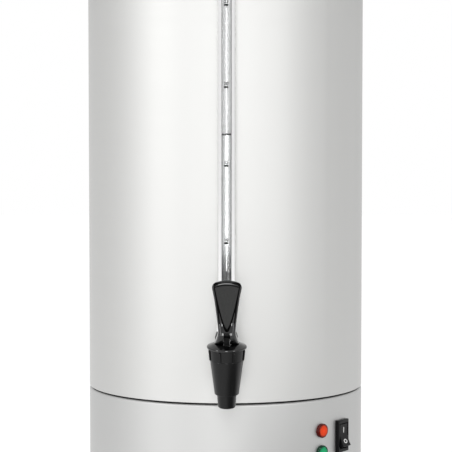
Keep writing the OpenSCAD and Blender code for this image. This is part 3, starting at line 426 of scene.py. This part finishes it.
def lens_finish(name, rim, middle, centre, axis, radius):
    """A tinted lens: its colour runs from the rim to the brighter middle round its own axis."""
    finish, tree, surface = new_finish(name, middle, 0.15, IOR=1.4, Specular_IOR_Level=0.25)
    place = node(tree, "ShaderNodeTexCoord")
    shift = node(tree, "ShaderNodeVectorMath", operation="SUBTRACT")
    shift.inputs[1].default_value = centre
    tree.links.new(place.outputs["Object"], shift.inputs[0])
    cross = node(tree, "ShaderNodeVectorMath", operation="CROSS_PRODUCT")
    cross.inputs[1].default_value = axis
    tree.links.new(shift.outputs["Vector"], cross.inputs[0])
    away = node(tree, "ShaderNodeVectorMath", operation="LENGTH")
    tree.links.new(cross.outputs["Vector"], away.inputs[0])
    share = node(tree, "ShaderNodeMath", operation="DIVIDE")
    share.inputs[1].default_value = radius * MM
    tree.links.new(away.outputs["Value"], share.inputs[0])
    fac = grain(tree, (420, 420, 420), 2.0)
    stray = node(tree, "ShaderNodeMath", operation="MULTIPLY_ADD")
    stray.inputs[1].default_value = 0.3
    stray.inputs[2].default_value = -0.15
    tree.links.new(fac, stray.inputs[0])
    total = node(tree, "ShaderNodeMath", operation="ADD")
    tree.links.new(share.outputs["Value"], total.inputs[0])
    tree.links.new(stray.outputs["Value"], total.inputs[1])
    tint = ramp(tree, total.outputs["Value"], (0.1, middle), (0.6, shaded(middle, 0.8)), (0.86, rim))
    tree.links.new(tint, surface.inputs["Base Color"])
    tree.links.new(tint, surface.inputs["Emission Color"])
    surface.inputs["Emission Strength"].default_value = 0.12
    bumped(tree, surface, fac, 0.15, 0.1)
    return finish


def clear_finish(name, color, index):
    """A clear material with a faint change of tint and no ripple."""
    finish, tree, surface = new_finish(name, color, 0.0, IOR=index, Transmission_Weight=1.0,
                                       Specular_Tint=(0.35, 0.35, 0.35, 1))
    tint = ramp(tree, grain(tree, (60, 60, 8), 2.0), (0.3, shaded(color, 0.985)), (0.7, color))
    tree.links.new(tint, surface.inputs["Base Color"])
    return finish


def scaled_by_height(finish, socket, *stops):
    """Scales a colour or strength of a finish along Z, by stops of a height in millimetres and a share."""
    tree = finish.node_tree
    target = tree.nodes["Principled BSDF"].inputs[socket]
    place = node(tree, "ShaderNodeTexCoord")
    axes = node(tree, "ShaderNodeSeparateXYZ")
    tree.links.new(place.outputs["Object"], axes.inputs["Vector"])
    low, high = stops[0][0], stops[-1][0]
    span = node(tree, "ShaderNodeMapRange")
    span.inputs["From Min"].default_value = low * MM
    span.inputs["From Max"].default_value = high * MM
    tree.links.new(axes.outputs["Z"], span.inputs["Value"])
    levels = [((z - low) / (high - low), (part,) * 3) for z, part in stops]
    share = ramp(tree, span.outputs["Result"], *levels)
    product = node(tree, "ShaderNodeVectorMath", operation="MULTIPLY")
    tree.links.new(share, product.inputs[0])
    if target.links:
        tree.links.new(target.links[0].from_socket, product.inputs[1])
    else:
        value = target.default_value
        product.inputs[1].default_value = (value,) * 3 if isinstance(value, float) else tuple(value)[:3]
    tree.links.new(product.outputs["Vector"], target)
    return finish


glass = clear_finish("clear_glass", (0.95, 0.955, 0.955), 1.47)
water = clear_finish("clear_water", (0.98, 0.985, 0.985), 1.33)
WATER_Z = 366.2
finishes["glass"] = glass
# The water's colour is darkened in a band at its surface: painted shade for the dark meniscus line
finishes["water"] = scaled_by_height(water, "Base Color", (WATER_Z - 0.7, 1.0), (WATER_Z - 0.4, 0.15),
                                     (WATER_Z + 0.9, 0.15), (WATER_Z + 1.3, 0.6))
# The shield's inside is darkened towards the gauge's foot, in colour and glow: painted shade where the tap
# and lever stand in front
for socket in ("Base Color", "Emission Strength"):
    scaled_by_height(finishes["shield_inside_painted_glow"], socket, (230, 0.22), (246, 0.5), (260, 1.0))


def dress(piece, body, finish, replaced=(), smooth=32):
    """Gives a finished piece its shading, finish and body, and hides the nodes it stands for."""
    pick(piece)
    bpy.ops.object.shade_smooth_by_angle(angle=math.radians(smooth))
    modify(piece, "WEIGHTED_NORMAL", keep_sharp=True, weight=80)
    piece.data.materials.clear()
    piece.data.materials.append(finish)
    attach(piece, body)
    if replaced:
        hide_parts(*replaced)
    return piece


# Camera and light, with the tank's axis half a pixel left of the middle of the frame

FRAME_PIXELS = 452
FOCAL_PIXELS = 1689.0
CAMERA_PLACE = (-0.0104, -1.8, 0.365)
CAMERA_TURN = (86.95, 0.0, -0.347)

bpy.ops.object.camera_add(location=CAMERA_PLACE, rotation=[math.radians(angle) for angle in CAMERA_TURN])
camera = started("camera")
camera.data.sensor_width = 36.0
camera.data.sensor_fit = "HORIZONTAL"
camera.data.lens = FOCAL_PIXELS / FRAME_PIXELS * camera.data.sensor_width
camera.data.clip_start = 0.05
bpy.context.scene.camera = camera
bpy.context.scene.view_settings.view_transform = "Standard"


def maths(tree, operation, *terms):
    """A chain of one operation: each term is a socket or a number."""
    step = node(tree, "ShaderNodeMath", operation=operation)
    for socket, term in zip(step.inputs, terms):
        if isinstance(term, (int, float)):
            socket.default_value = term
        else:
            tree.links.new(term, socket)
    return step.outputs["Value"]


def light_world(room):
    """White where it is seen, mirrored or looked at through glass, and dimmer as a lamp."""
    world = bpy.data.worlds.new("white_room")
    world.use_nodes = True
    bpy.context.scene.world = world
    tree = world.node_tree
    back = tree.nodes["Background"]
    back.inputs["Color"].default_value = (1, 1, 1, 1)
    path = node(tree, "ShaderNodeLightPath")
    shown = maths(tree, "MAXIMUM", path.outputs["Is Camera Ray"], path.outputs["Is Transmission Ray"])
    shown = maths(tree, "MAXIMUM", shown, path.outputs["Is Glossy Ray"])
    tree.links.new(maths(tree, "MULTIPLY_ADD", shown, 1.0 - room, room), back.inputs["Strength"])


def panel_light(name, turn, height, distance, size, radiance):
    """A soft panel at an angle from the tap, aimed at the middle of the tank."""
    angle = math.radians(turn)
    place = Vector((distance * math.sin(angle), -distance * math.cos(angle), height))
    clear_selection()
    bpy.ops.object.light_add(type="AREA", location=place)
    lamp = started(name)
    lamp.data.shape = "RECTANGLE"
    lamp.data.size, lamp.data.size_y = size
    lamp.data.energy = math.pi * size[0] * size[1] * radiance
    lamp.rotation_euler = (place - Vector((0, 0, 0.33))).to_track_quat("Z", "Y").to_euler()


light_world(0.45)
panel_light("left_panel", -54, 0.76, 2.4, (0.4, 1.6), 8.8)
panel_light("front_panel", -2, 0.76, 2.5, (0.5, 1.6), 9.4)
panel_light("right_panel", 38, 0.76, 2.5, (0.3, 1.6), 8.0)

clear_selection()
bpy.ops.mesh.primitive_plane_add(size=12)
floor = started("floor")
pale, tree, surface = new_finish("pale_floor", (0.42, 0.42, 0.42), 0.8, Specular_IOR_Level=0.1)
surface.inputs["Emission Color"].default_value = (1, 1, 1, 1)
# The floor glows white where it is seen, and in reflections everywhere but a painted dark patch in front of
# the tap: painted shade in what the tap and tank mirror
path = node(tree, "ShaderNodeLightPath")
place = node(tree, "ShaderNodeTexCoord")
away = node(tree, "ShaderNodeVectorMath", operation="DISTANCE")
away.inputs[1].default_value = (0.14, -0.28, 0)
tree.links.new(place.outputs["Object"], away.inputs[0])
outside_painted_patch = node(tree, "ShaderNodeMapRange", interpolation_type="SMOOTHSTEP")
outside_painted_patch.inputs["From Min"].default_value = 0.06
outside_painted_patch.inputs["From Max"].default_value = 0.24
outside_painted_patch.inputs["To Max"].default_value = 0.9
tree.links.new(away.outputs["Value"], outside_painted_patch.inputs["Value"])
seen = maths(tree, "MULTIPLY", path.outputs["Is Camera Ray"], 0.8)
reflected_glow = maths(tree, "MULTIPLY", path.outputs["Is Glossy Ray"], outside_painted_patch.outputs["Result"])
tree.links.new(maths(tree, "ADD", seen, reflected_glow), surface.inputs["Emission Strength"])
floor.data.materials.append(pale)


# Tank, base and lid

RIM = (148.5, 593.0, 4.0)
tank_profile = rounded([(144.0, 101.5), (145.0, 101.5, 0.3), (145.0, 590.6)])
tank_profile += arc(*RIM, 222, -20, 14) + arc(*RIM, -20, -195, 12)[1:]
tank_steel = weld_line(grained("tank_steel", STEEL_COLOR, (0.56, 0.6), (3, 3, 900), 0.012, 0.03, 0.01,
                               Metallic=1.0), 0.9)
tank = turned("tank", tank_profile + [(144.0, 592.0)], 256, ring=True)
dress(tank, "vessel", tank_steel, ["tank_shell"])

skirt = turned("base_shell", rounded([(123, 8), (145, 8, 0.8), (145, 100, 2.5), (123, 100), (123, 99),
                                      (144, 99, 1.5), (144, 9), (123, 9)], 7), 256, ring=True)
dress(skirt, "vessel", finishes["base_steel"], ["base_skirt"])

foot = turned("foot", rounded([(135, 6.75), (135, 0, 0.8), (147, 0, 1.5), (147, 14, 1.0), (145.05, 14),
                               (145.05, 7.95), (141.3, 7.95), (141.3, 6.75)]), 192, ring=True)
dress(foot, "vessel", finishes["black_rubber"], ["foot_ring"])

DOME_R, DOME_Z = 521.225, 96.075
LID_EDGE = (152.3, 599.8, 2.5)


def dome(radius, shell=0.0):
    return DOME_Z + math.sqrt((DOME_R - shell) ** 2 - radius ** 2)


lid_profile = [(r, dome(r)) for r in (3, 20, 40, 60, 80, 100, 115, 128)]
lid_profile += rounded([(128, dome(128)), (140.3, 598.1, 6.0), (150.6, 598.1)])[1:]
lid_profile += arc(*LID_EDGE, 222, -90, 16)
lid_profile += [(143, 597.3)] + [(r, dome(r, 0.8)) for r in (139.5, 128, 115, 100, 80, 60, 40, 20, 3)]
lid = turned("lid_cover", lid_profile, 192, ring=True)
steam_hole = set_at(rod("steam_hole", 2.5, 60), (0, 105, 580))
cut(lid, steam_hole)
dress(lid, "lid", finishes["steel"], ["lid"])

knob = turned("lid_grip", rounded([(14, 617.32), (14, 621.3, 1.2), (10.1, 622.2, 2.5), (10.1, 632.5, 5.0),
                                   (19.5, 635.8, 2.0), (23, 640.3, 3.2), (21.5, 644.4, 2.5), (14, 646.4),
                                   (6, 647.2), (1.5, 647.3)]), 96)
dress(knob, "lid", finishes["handle_black"], ["lid_knob"])


# Handles: a bar that is run out, spun round each bend and cut to the bracket's curve

HANDLE_Z, GRIP_OUT, LEG_X, BEND_R, BAR_R, STRAIGHT = 548.0, 189.0, 48.0, 17.0, 10.0, 62.0
BRACKET_R = 146.5


def run(x, y):
    """Extends the open end of a bar in edit mode."""
    bpy.ops.mesh.extrude_region_move(TRANSFORM_OT_translate={"value": (x * MM, y * MM, 0)})


def bend(x, y):
    """Spins the open end of a bar a quarter turn, clockwise from above, about a point."""
    bpy.ops.mesh.spin(steps=14, angle=math.radians(90), axis=(0, 0, 1),
                      center=(x * MM, y * MM, HANDLE_Z * MM))


def handle(side, turn):
    clear_selection()
    bpy.ops.mesh.primitive_circle_add(vertices=40, radius=BAR_R * MM, fill_type="NGON")
    bar = set_at(started("handle_bar_" + side), (LEG_X, -135, HANDLE_Z), (90, 0, 0))
    edit(bar)
    run(0, 135 + BEND_R - GRIP_OUT)
    bend(STRAIGHT / 2, BEND_R - GRIP_OUT)
    for step in range(4):
        run(-STRAIGHT / 4, 0)
    bend(-STRAIGHT / 2, BEND_R - GRIP_OUT)
    run(0, GRIP_OUT - BEND_R - 135)
    done()
    true_up(bar)
    tools = [turned("bracket_curve", [(BRACKET_R, 500), (BRACKET_R, 600)], 256)]
    for leg in (-LEG_X, LEG_X):
        tools.append(set_at(rod("screw_hole", 4.7, 40), (leg, -183, HANDLE_Z), (90, 0, 0)))
    cut(bar, *tools)
    soften(bar, 0.5, 2, 40)
    set_at(bar, turn=(0, 0, turn))
    return dress(bar, "vessel", finishes["handle_black"], ["handle_" + side])


def bracket(side, turn):
    plate = turned("handle_plate_" + side, [(145.02, 533), (146.5, 533), (146.5, 563), (145.02, 563)], 256,
                   ring=True)
    trim = block("plate_outline", (128, 60, 30), (0, -140, HANDLE_Z))
    edit(trim)
    choose(trim, "EDGE", lambda p: abs(p.x) > 60 and abs(p.z - HANDLE_Z) > 14 and abs(p.y + 140) < 1)
    bpy.ops.mesh.bevel(offset=7 * MM, segments=6, affect="EDGES")
    done()
    modify(plate, "BOOLEAN", operation="INTERSECT", solver="EXACT", object=trim)
    bpy.data.objects.remove(trim)
    soften(plate, 0.35, 2, 50)
    set_at(plate, turn=(0, 0, turn))
    return dress(plate, "vessel", finishes["steel"], ["handle_bracket_" + side])


for side, turn in (("right", 90), ("left", -90)):
    handle(side, turn)
    bracket(side, turn)


# Tap

def on_tap(piece):
    """Sets a piece that is drawn round Z, at its height along the tap, on the tap's leaning axis."""
    set_at(piece, (0, 0, -SHANK_Z))
    return set_at(piece, (0, TAP_Y, SHANK_Z), (TAP_LEAN, 0, 0))


tap = turned("tap_shell", rounded([(1.0, 106.3), (8.3, 106.3, 0.9), (9.4, 119.4, 0.5), (11.6, 119.4, 1.0),
                                   (16.2, 153.8, 0.6), (14.3, 153.8), (14.3, 161.8), (1.0, 161.8)]), 128)
on_tap(tap)
shank = turned("shank", rounded([(6.5, 126), (10.4, 126, 0.8), (10.4, 147), (15.5, 147, 0.5),
                                 (15.5, 151, 0.9), (10.5, 151, 0.8), (10.5, 196)]), 96)
set_outwards(shank, 0, 140, 0)
port = set_at(turned("port", rounded([(8.5, 140), (8.5, 163, 0.4), (1.0, 163)]), 64), (0, GAUGE_Y, 0))
for limb in (shank, port):
    modify(tap, "BOOLEAN", operation="UNION", solver="EXACT", object=limb)
    bpy.data.objects.remove(limb)
cut(tap, on_tap(set_at(rod("outlet", 5.5, 30), (0, 0, 100))),
    on_tap(set_at(rod("chamber", 11.0, 60), (0, 0, 128.7))),
    set_outwards(rod("waterway", 6.0, 80), 0, 140, 120),
    set_at(rod("glass_seat", 6.2, 20), (0, GAUGE_Y, 157)))
dress(tap, "vessel", finishes["tap_black"], ["tap_body"], 28)

bonnet_profile = rounded([(4.06, 161.9), (4.06, 169.3, 0.4), (12.5, 169.3, 1.6), (17.6, 167.1)])
bonnet_profile += arc(17.6, 165.7, 1.4, 66, -84, 8)
bonnet_profile += rounded([(17.9, 164.2), (16.8, 153.8, 0.35), (14.5, 153.8), (14.5, 161.9)])[1:]
bonnet = turned("cap", bonnet_profile, 128, ring=True)
ribs = []
for i in range(8):
    rib = copied(ribs[0], "cap_rib") if ribs else block("cap_rib", (2.6, 1.9, 10.0), bevel=0.7)
    ribs.append(rib)
for i, rib in enumerate(ribs):
    angle = math.radians(22.5 + 45 * i)
    set_at(rib, (17.25 * math.sin(angle), -17.25 * math.cos(angle), 158.9), (6, 0, 22.5 + 45 * i))
joined(bonnet, *ribs)
# On the cap's skirt the sides of the ribs take the near-black groove finish, painted shade between the ribs;
# the rest of the skirt takes the tap's less glossy black
skirt_tones = {}
for face in bonnet.data.polygons:
    middle, across = face.center / MM, Vector((face.center.y, -face.center.x, 0)).normalized()
    if middle.z < 164.3:
        rib_side = math.hypot(middle.x, middle.y) > 16.9 and abs(face.normal.dot(across)) > 0.6
        skirt_tones[face.index] = 1 if rib_side else 2
on_tap(bonnet)
dress(bonnet, "vessel", finishes["cap_black"], ["tap_bonnet"], 30)
bonnet.data.materials.append(finishes["gasket_black_and_painted_shade"])
bonnet.data.materials.append(finishes["tap_black"])
for index, tone in skirt_tones.items():
    bonnet.data.polygons[index].material_index = tone


# Lever, in its pin's frame: X across, Y backwards, Z upwards

LEVER_TOP, LEVER_LOW = 53.7, -8.0
WAIST_Z, WAIST, FOOT, HEAD = 4.5, 8.3, 11.8, 14.6
ARCH = 3.4


def lever_half(z):
    if z < WAIST_Z:
        return WAIST + (FOOT - WAIST) * ((WAIST_Z - z) / (WAIST_Z - LEVER_LOW)) ** 1.5
    return WAIST + (HEAD - WAIST) * ((z - WAIST_Z) / (LEVER_TOP - WAIST_Z)) ** 1.2


def lever_front(z):
    if z <= 0:
        return -5 - math.sqrt(max(0.0, 64 - z * z))
    if z < 3:
        return -13.0
    return -13 + 5 * (z - 3) / 9 if z < 12 else -8.0


def lever_back(z):
    if z < 0:
        return 8.0
    return 8 - z / 10 if z < 10 else 7 - 9 * (z - 10) / 40.7


def top_round(z, reach):
    """How much of the full width is left at a height within a rounded end."""
    over = max(0.0, z - (LEVER_TOP - reach)) / reach
    return math.sqrt(max(0.0, 1 - min(1.0, over) ** 2))


def lever_point(x, y, z):
    half = lever_half(z) - 4.2 * (1 - top_round(z, 4.2))
    front, back = lever_front(z), lever_back(z)
    middle, deep = (front + back) / 2, (back - front) / 2 * max(0.12, top_round(z, 3.0))
    across = x / 10 * half
    drop = ARCH * (across / HEAD) ** 2 * min(1.0, max(0.0, (z - 36) / 12))
    return across, middle + y / 8 * deep, z - drop


def sliced(piece, columns, heights):
    """Adds lines of points to a box at places along X and at heights."""
    edit(piece)
    for column in columns:
        bpy.ops.mesh.select_all(action="SELECT")
        bpy.ops.mesh.bisect(plane_co=(column * MM, 0, 0), plane_no=(1, 0, 0))
    for height in heights:
        bpy.ops.mesh.select_all(action="SELECT")
        bpy.ops.mesh.bisect(plane_co=(0, 0, height * MM), plane_no=(0, 0, 1))
    done()
    return piece


def reshaped(piece, rule):
    """Moves each point of a piece by a rule, in millimetres."""
    for vertex in piece.data.vertices:
        vertex.co = Vector(rule(*(vertex.co / MM))) * MM
    return piece


lever = block("lever_arm", (20, 16, LEVER_TOP - LEVER_LOW), (0, 0, (LEVER_TOP + LEVER_LOW) / 2))
edit(lever)
choose(lever, "EDGE", lambda p: abs(p.x) > 9 and abs(p.y) > 7)
bpy.ops.mesh.bevel(offset=4.2 * MM, segments=8, affect="EDGES")
done()
sliced(lever, [-5.5, -4, -2, 0, 2, 4, 5.5],
       [-7.6, -6.6, -5, -2.5, 0, 1.5, 3, 4.5, 7.5, 10, 12] + [14 + 3 * i for i in range(11)]
       + [46, 48, 49.5, 50.7, 51.5, 52.2, 52.8, 53.2, 53.5])
reshaped(lever, lever_point)
true_up(lever)

PANEL_TOP, PANEL_LOW, PANEL_TIP = 50.2, 5.4, 0.9


def panel_plate(name, inset, front, back):
    """The V-shaped panel as a plate between two depths, smaller all round by an inset."""
    plate = block(name, (20, back - front, 40), (0, (front + back) / 2, 20))
    sliced(plate, [-7.5, -5, -2.5, 0, 2.5, 5, 7.5], [0.3, 1, 2.2, 3.5] + [5 * i for i in range(1, 8)])

    def place(x, y, z):
        share = z / 40
        height = PANEL_LOW + 1.6 * inset + (PANEL_TOP - PANEL_LOW - 2.6 * inset) * share
        wide = lever_half(PANEL_TOP) - 1.7
        half = PANEL_TIP + (wide - PANEL_TIP) * share ** 0.64 - inset * 1.05
        across = x / 10 * max(0.3, half)
        return across, y, height - ARCH * (across / HEAD) ** 2 * share

    return true_up(reshaped(plate, place))


cut(lever, panel_plate("panel_pocket", 0.0, -20, -6.2),
    block("stem_slot", (6.3, 60, 24), (0, 0, 4.2 - 12)),
    set_at(rod("pin_hole", 2.03, 60), (-30, 0, 0), (0, 90, 0)))
soften(lever, 0.22, 2, 50)
# The walls and floor of the panel's pocket take the near-black groove finish: painted shade in the recess
# round the panel
groove = [face.index for face in lever.data.polygons
          if -7.8 < face.center.y / MM < -6.1 and 3 < face.center.z / MM < 52
          and abs(face.center.x / MM) < lever_half(face.center.z / MM) - 1.2]
on_tap(set_at(lever, (0, 0, PIN_Z)))
dress(lever, "lever", finishes["cap_black"], ["tap_lever"], 40)
lever.data.materials.append(finishes["gasket_black_and_painted_shade"])
for index in groove:
    lever.data.polygons[index].material_index = 1

panel = panel_plate("lever_panel", 1.05, -7.85, -6.1)
soften(panel, 0.2, 2, 50)
on_tap(set_at(panel, (0, 0, PIN_Z)))
dress(panel, "lever", finishes["lever_panel"])


# Gauge

nut = turned("gauge_lock_nut", [(6.3, 159), (12, 159), (12, 171), (6.3, 171)], 8, ring=True)
set_at(nut, turn=(0, 0, 22.5))
soften(nut, 0.5, 3)
crown = turned("crown", rounded([(6.3, 170.5), (11.0, 170.5), (11.04, 171, 0.2), (9.6, 175, 0.6),
                                 (6.3, 175)]), 64, ring=True)
joined(nut, crown)
set_at(nut, (0, GAUGE_Y, 0))
dress(nut, "vessel", finishes["tap_black"], ["gauge_nut"])

ferrule = turned("ferrule", rounded([(9.05, 175.05), (10.5, 175.05, 0.4), (10.5, 199, 0.5), (9.05, 199)]),
                 96, ring=True)
cut(ferrule, block("ferrule_slot", (9.6, 30, 20), (0, -15, 197)))
soften(ferrule, 0.2, 2, 50)
set_at(ferrule, (0, GAUGE_Y, 0))
dress(ferrule, "vessel", finishes["polished"], ["shield_ferrule"])

# The shield's slot is splayed: it is wider outside, at its lips, than inside
SHIELD_R, SHIELD_IN_R = 9.0, 8.2
SHIELD_LOW, SHIELD_STEP, SHIELD_STEPS = 175.1, 18.655, 20
SLOT_X, LIP_X, BACK_Y = 4.8, 5.4, 4.2
shield_side = [(SHIELD_R, SHIELD_LOW + SHIELD_STEP * i) for i in range(SHIELD_STEPS + 1)]
shield = turned("shield", [(SHIELD_IN_R, SHIELD_LOW)] + shield_side + [(SHIELD_IN_R, 548.2)], 96, ring=True)
cut(shield, block("shield_slot", (2 * SLOT_X, 30, 500), (0, -15, 370)))
for vertex in shield.data.vertices:
    point = vertex.co / MM
    outside = math.hypot(point.x, point.y) > SHIELD_R - 0.2
    if outside and point.y < 0 and abs(abs(point.x) - SLOT_X) < 0.02:
        lip_y = -math.sqrt(SHIELD_R ** 2 - LIP_X ** 2)
        vertex.co = Vector((math.copysign(LIP_X, point.x), lip_y, point.z)) * MM
set_at(shield, (0, GAUGE_Y, 0))
dress(shield, "vessel", finishes["polished"], ["gauge_shield"])
shield.data.materials.append(finishes["shield_inside_painted_glow"])
shield.data.materials.append(finishes["shield_painted_shade"])
# Inside the shield the back strip takes the white finish with its painted glow; the inner side walls and the
# slot's cut lips take a grey painted shade
for face in shield.data.polygons:
    middle = face.center / MM
    if math.hypot(middle.x, middle.y - GAUGE_Y) < SHIELD_IN_R + 0.2:
        face.material_index = 1 if middle.y - GAUGE_Y > BACK_Y else 2
    elif SLOT_X - 0.1 < abs(middle.x) < LIP_X and middle.y < GAUGE_Y and abs(face.normal.x) > 0.7:
        face.material_index = 2

tube = turned("gauge_tube", rounded([(4.5, 157.1, 0.4), (6.0, 157.1, 0.4), (6.0, 554.1, 0.5),
                                    (4.5, 554.1, 0.5)]), 64, ring=True)
set_at(tube, (0, GAUGE_Y, 0))
dress(tube, "vessel", finishes["glass"], ["gauge_glass"])

column = turned("water_column", [(4.42, 157.2), (4.42, WATER_Z + 1.2), (4.2, WATER_Z + 0.75),
                                 (3.6, WATER_Z + 0.35), (2.4, WATER_Z + 0.1), (1.0, WATER_Z)], 64)
set_at(column, (0, GAUGE_Y, 0))
dress(column, "vessel", finishes["water"])

head = turned("gauge_cap", rounded([(9.05, 538.2), (10.5, 538.2, 0.5), (10.5, 572.2, 1.8), (1.0, 572.2),
                                    (1.0, 560), (9.05, 560)]), 96, ring=True)
set_at(head, (0, GAUGE_Y, 0))
stud = turned("head_stud", rounded([(1.0, 130), (4.9, 130, 0.4), (4.9, 146), (8, 146, 0.3),
                                   (8, 149, 0.6), (5, 149), (5, 156)]), 64)
set_outwards(stud, 0, 562, 0)
joined(head, stud)
dress(head, "vessel", finishes["polished"], ["gauge_head"])

for level, figures in ((490.9, "25"), (412.1, "20"), (336.2, "15"), (261.3, "10")):
    bar = block("mark_" + figures, (4.2, 1.8, 0.04), bevel=0.015, segments=1)
    sliced(bar, [-1.4, -0.7, 0, 0.7, 1.4], [])
    wrapped(bar, 6.04, -3, level, (0, GAUGE_Y))
    dress(bar, "vessel", finishes["black_print"])
    number = numeral("number_" + figures, figures, 3.2)
    wrapped(number, 6.04, -3, level + 3.2, (0, GAUGE_Y))
    dress(number, "vessel", finishes["black_print"])


# Lamps and switch

for name, height, rim, middle in (("red", 68.0, (0.07, 0.002, 0.001), (0.88, 0.055, 0.004)),
                                  ("green", 46.0, (0.001, 0.03, 0.014), (0.006, 0.4, 0.15))):
    lens = turned(name + "_lens", rounded([(7.2, 0.0), (7.2, 2.6, 0.35), (5.6, 3.7, 0.6), (1.0, 4.0)]), 64)
    set_outwards(lens, LAMP_TURN, height, TANK_R - 0.15)
    angle = math.radians(LAMP_TURN)
    finish = lens_finish(name + "_lens", rim, middle, (0, 0, height * MM),
                         (math.sin(angle), -math.cos(angle), 0), 7.2)
    dress(lens, "vessel", finish, [name + "_lamp_lens"])

surround = block("switch_frame", (19.6, 33.0, 4.6), (0, 0, 1.7))
edit(surround)
choose(surround, "EDGE", lambda p: p.z > 3)
bpy.ops.mesh.bevel(offset=1.1 * MM, segments=4, affect="EDGES")
done()
cut(surround, block("rocker_room", (15.0, 26.0, 20), (0, 0, 6)))
soften(surround, 0.25, 2, 50)
set_outwards(surround, SWITCH_TURN, 59.0, TANK_R)
dress(surround, "vessel", finishes["switch_black"], ["switch_housing"])

ROCKER_W, ROCKER_R = 13.8, 12.4
outline = [(-11.3, 5.7), (-7.5, 4.7), (-3.5, 3.8), (0, 3.4), (3.5, 3.8), (7.5, 4.7), (11.3, 5.7)]
outline += arc(0, 0, ROCKER_R, 14, -34, 8) + arc(0, 0, ROCKER_R, 214, 166, 8)
paddle = set_at(prism("paddle", outline, ROCKER_W), turn=(90, 0, 90))
soften(paddle, 0.45, 3, 25)
paddle.data.materials.append(finishes["switch_black"])
on_bar = block("on_bar", (1.2, 5.6, 0.1), bevel=0.03, segments=1)
set_at(on_bar, (0, 5.4, 4.28), (12.5, 0, 0))
off_ring = turned("off_ring", [(1.25, -0.05), (2.3, -0.05), (2.3, 0.05), (1.25, 0.05)], 48, ring=True)
off_ring.scale.x = 1.3
set_at(off_ring, (0, -6.2, 4.42), (-13.5, 0, 0))
for mark in (on_bar, off_ring):
    set_at(mark, turn=(-11, 0, 0))
    set_outwards(mark, SWITCH_TURN, 59.0, 145.5)
    dress(mark, "rocker", finishes["white_print"])
set_at(paddle, turn=(-11, 0, 0))
set_outwards(paddle, SWITCH_TURN, 59.0, 145.5)
dress(paddle, "rocker", finishes["switch_black"], ["switch_rocker"], 35)


# Thermostat knob, with its scale printed on the base

dial = turned("thermostat_grip", rounded([(12, 0.05), (19, 0.05, 0.6), (19, 2.8, 0.9), (15.2, 3.3, 0.6),
                                          (14.1, 17, 1.3), (1, 17)]), 120)
cut(dial, block("pointer_groove", (1.6, 11.4, 1.6), (0, 11.4, 17)))
flutes = [block("flute", (1.5, 1.0, 11.5), bevel=0.42)]
for i in range(1, 26):
    flutes.append(copied(flutes[0], "flute"))
for i, flute in enumerate(flutes):
    angle = math.radians(360 / 26 * (i + 0.5))
    set_at(flute, (14.65 * math.sin(angle), 14.65 * math.cos(angle), 9.6),
           (2.2 * math.cos(angle), -2.2 * math.sin(angle), -math.degrees(angle)))
joined(dial, *flutes)
set_outwards(dial, DIAL_TURN, 57.0, 146.2)
dress(dial, "knob", finishes["handle_black"], ["thermostat_knob"], 35)

pointer = block("pointer_line", (1.1, 7.6, 0.5), (0, 9.7, 16.5), bevel=0.15, segments=2)
set_outwards(pointer, DIAL_TURN, 57.0, 146.2)
dress(pointer, "knob", finishes["white_print"])

for i in range(10):
    angle = math.radians(30 * i)
    tick = block("scale_tick_%d" % i, (0.9, 3.4, 0.06), bevel=0.02, segments=1)
    set_at(tick, (23.2 * math.sin(angle), 23.2 * math.cos(angle), 0), (0, 0, -30 * i))
    wrapped(tick, TANK_R, DIAL_TURN, 57.0)
    dress(tick, "vessel", finishes["black_print"])


# Seal between base and tank, and the gland for the mains lead

# The seal is black rubber, given the near-black groove finish: partly its own colour, partly painted shade in
# the gap between base and tank
seal = turned("base_seal", rounded([(123, 100.02), (143.4, 100.02, 0.5), (143.4, 101.98, 0.5),
                                   (123, 101.98)]), 256, ring=True)
dress(seal, "vessel", finishes["gasket_black_and_painted_shade"], ["base_gasket"])

gland = turned("gland_hex", [(4.3, -0.6), (12, -0.6), (12, 5.9), (4.3, 5.9)], 6, ring=True)
soften(gland, 0.6, 3)
set_outwards(gland, 180, 40, TANK_R)
dress(gland, "vessel", finishes["switch_black"], ["gland_body"])

gland_cap = turned("gland_cap", [(4.3, 6.1), (12, 6.1), (12, 13), (4.3, 13)], 6, ring=True)
soften(gland_cap, 0.6, 3)
gland_dome = turned("gland_dome", rounded([(4.2, 12.5), (10, 12.5), (10, 13.2, 0.3), (8.6, 18.2, 1.6),
                                           (6.7, 20, 0.7), (4.2, 20, 0.5)]), 64, ring=True)
joined(gland_cap, gland_dome)
set_outwards(gland_cap, 180, 40, TANK_R)
dress(gland_cap, "vessel", finishes["switch_black"], ["gland_nut"])


# The solids that keep their own shape

carried = {
    "steel": ["tank_bottom", "lid_collar"],
    "plate_steel": ["bottom_plate", "bulb_clip"],
    "screw_steel": ["base_screws", "tank_studs", "tank_nuts", "thermostat_nut", "limiter_screws",
                    "lamp_clips", "head_nut", "lid_knob_screw", "handle_screws", "lever_pin", "tap_spring"],
    "black_rubber": ["gauge_seal", "head_gasket", "gland_seal"],
    "silicone": ["tap_gasket_outer", "tap_gasket_inner", "valve_cup"],
    "switch_black": ["tap_stem", "limiter_body", "gland_locknut"],
    "heater_alloy": ["heating_plate"],
    "element_steel": ["heating_element"],
    "brass": ["thermostat_shaft", "terminal_screws"],
    "copper": ["thermostat_bulb"],
    "ivory_plastic": ["thermostat_body", "terminal_block", "red_lamp_body", "green_lamp_body", "tap_locknut"],
    "red_button": ["reset_button"],
}
for slot, names in carried.items():
    for name in names:
        solid = nodes[name]
        solid.data.materials.clear()
        solid.data.materials.append(finishes[slot])
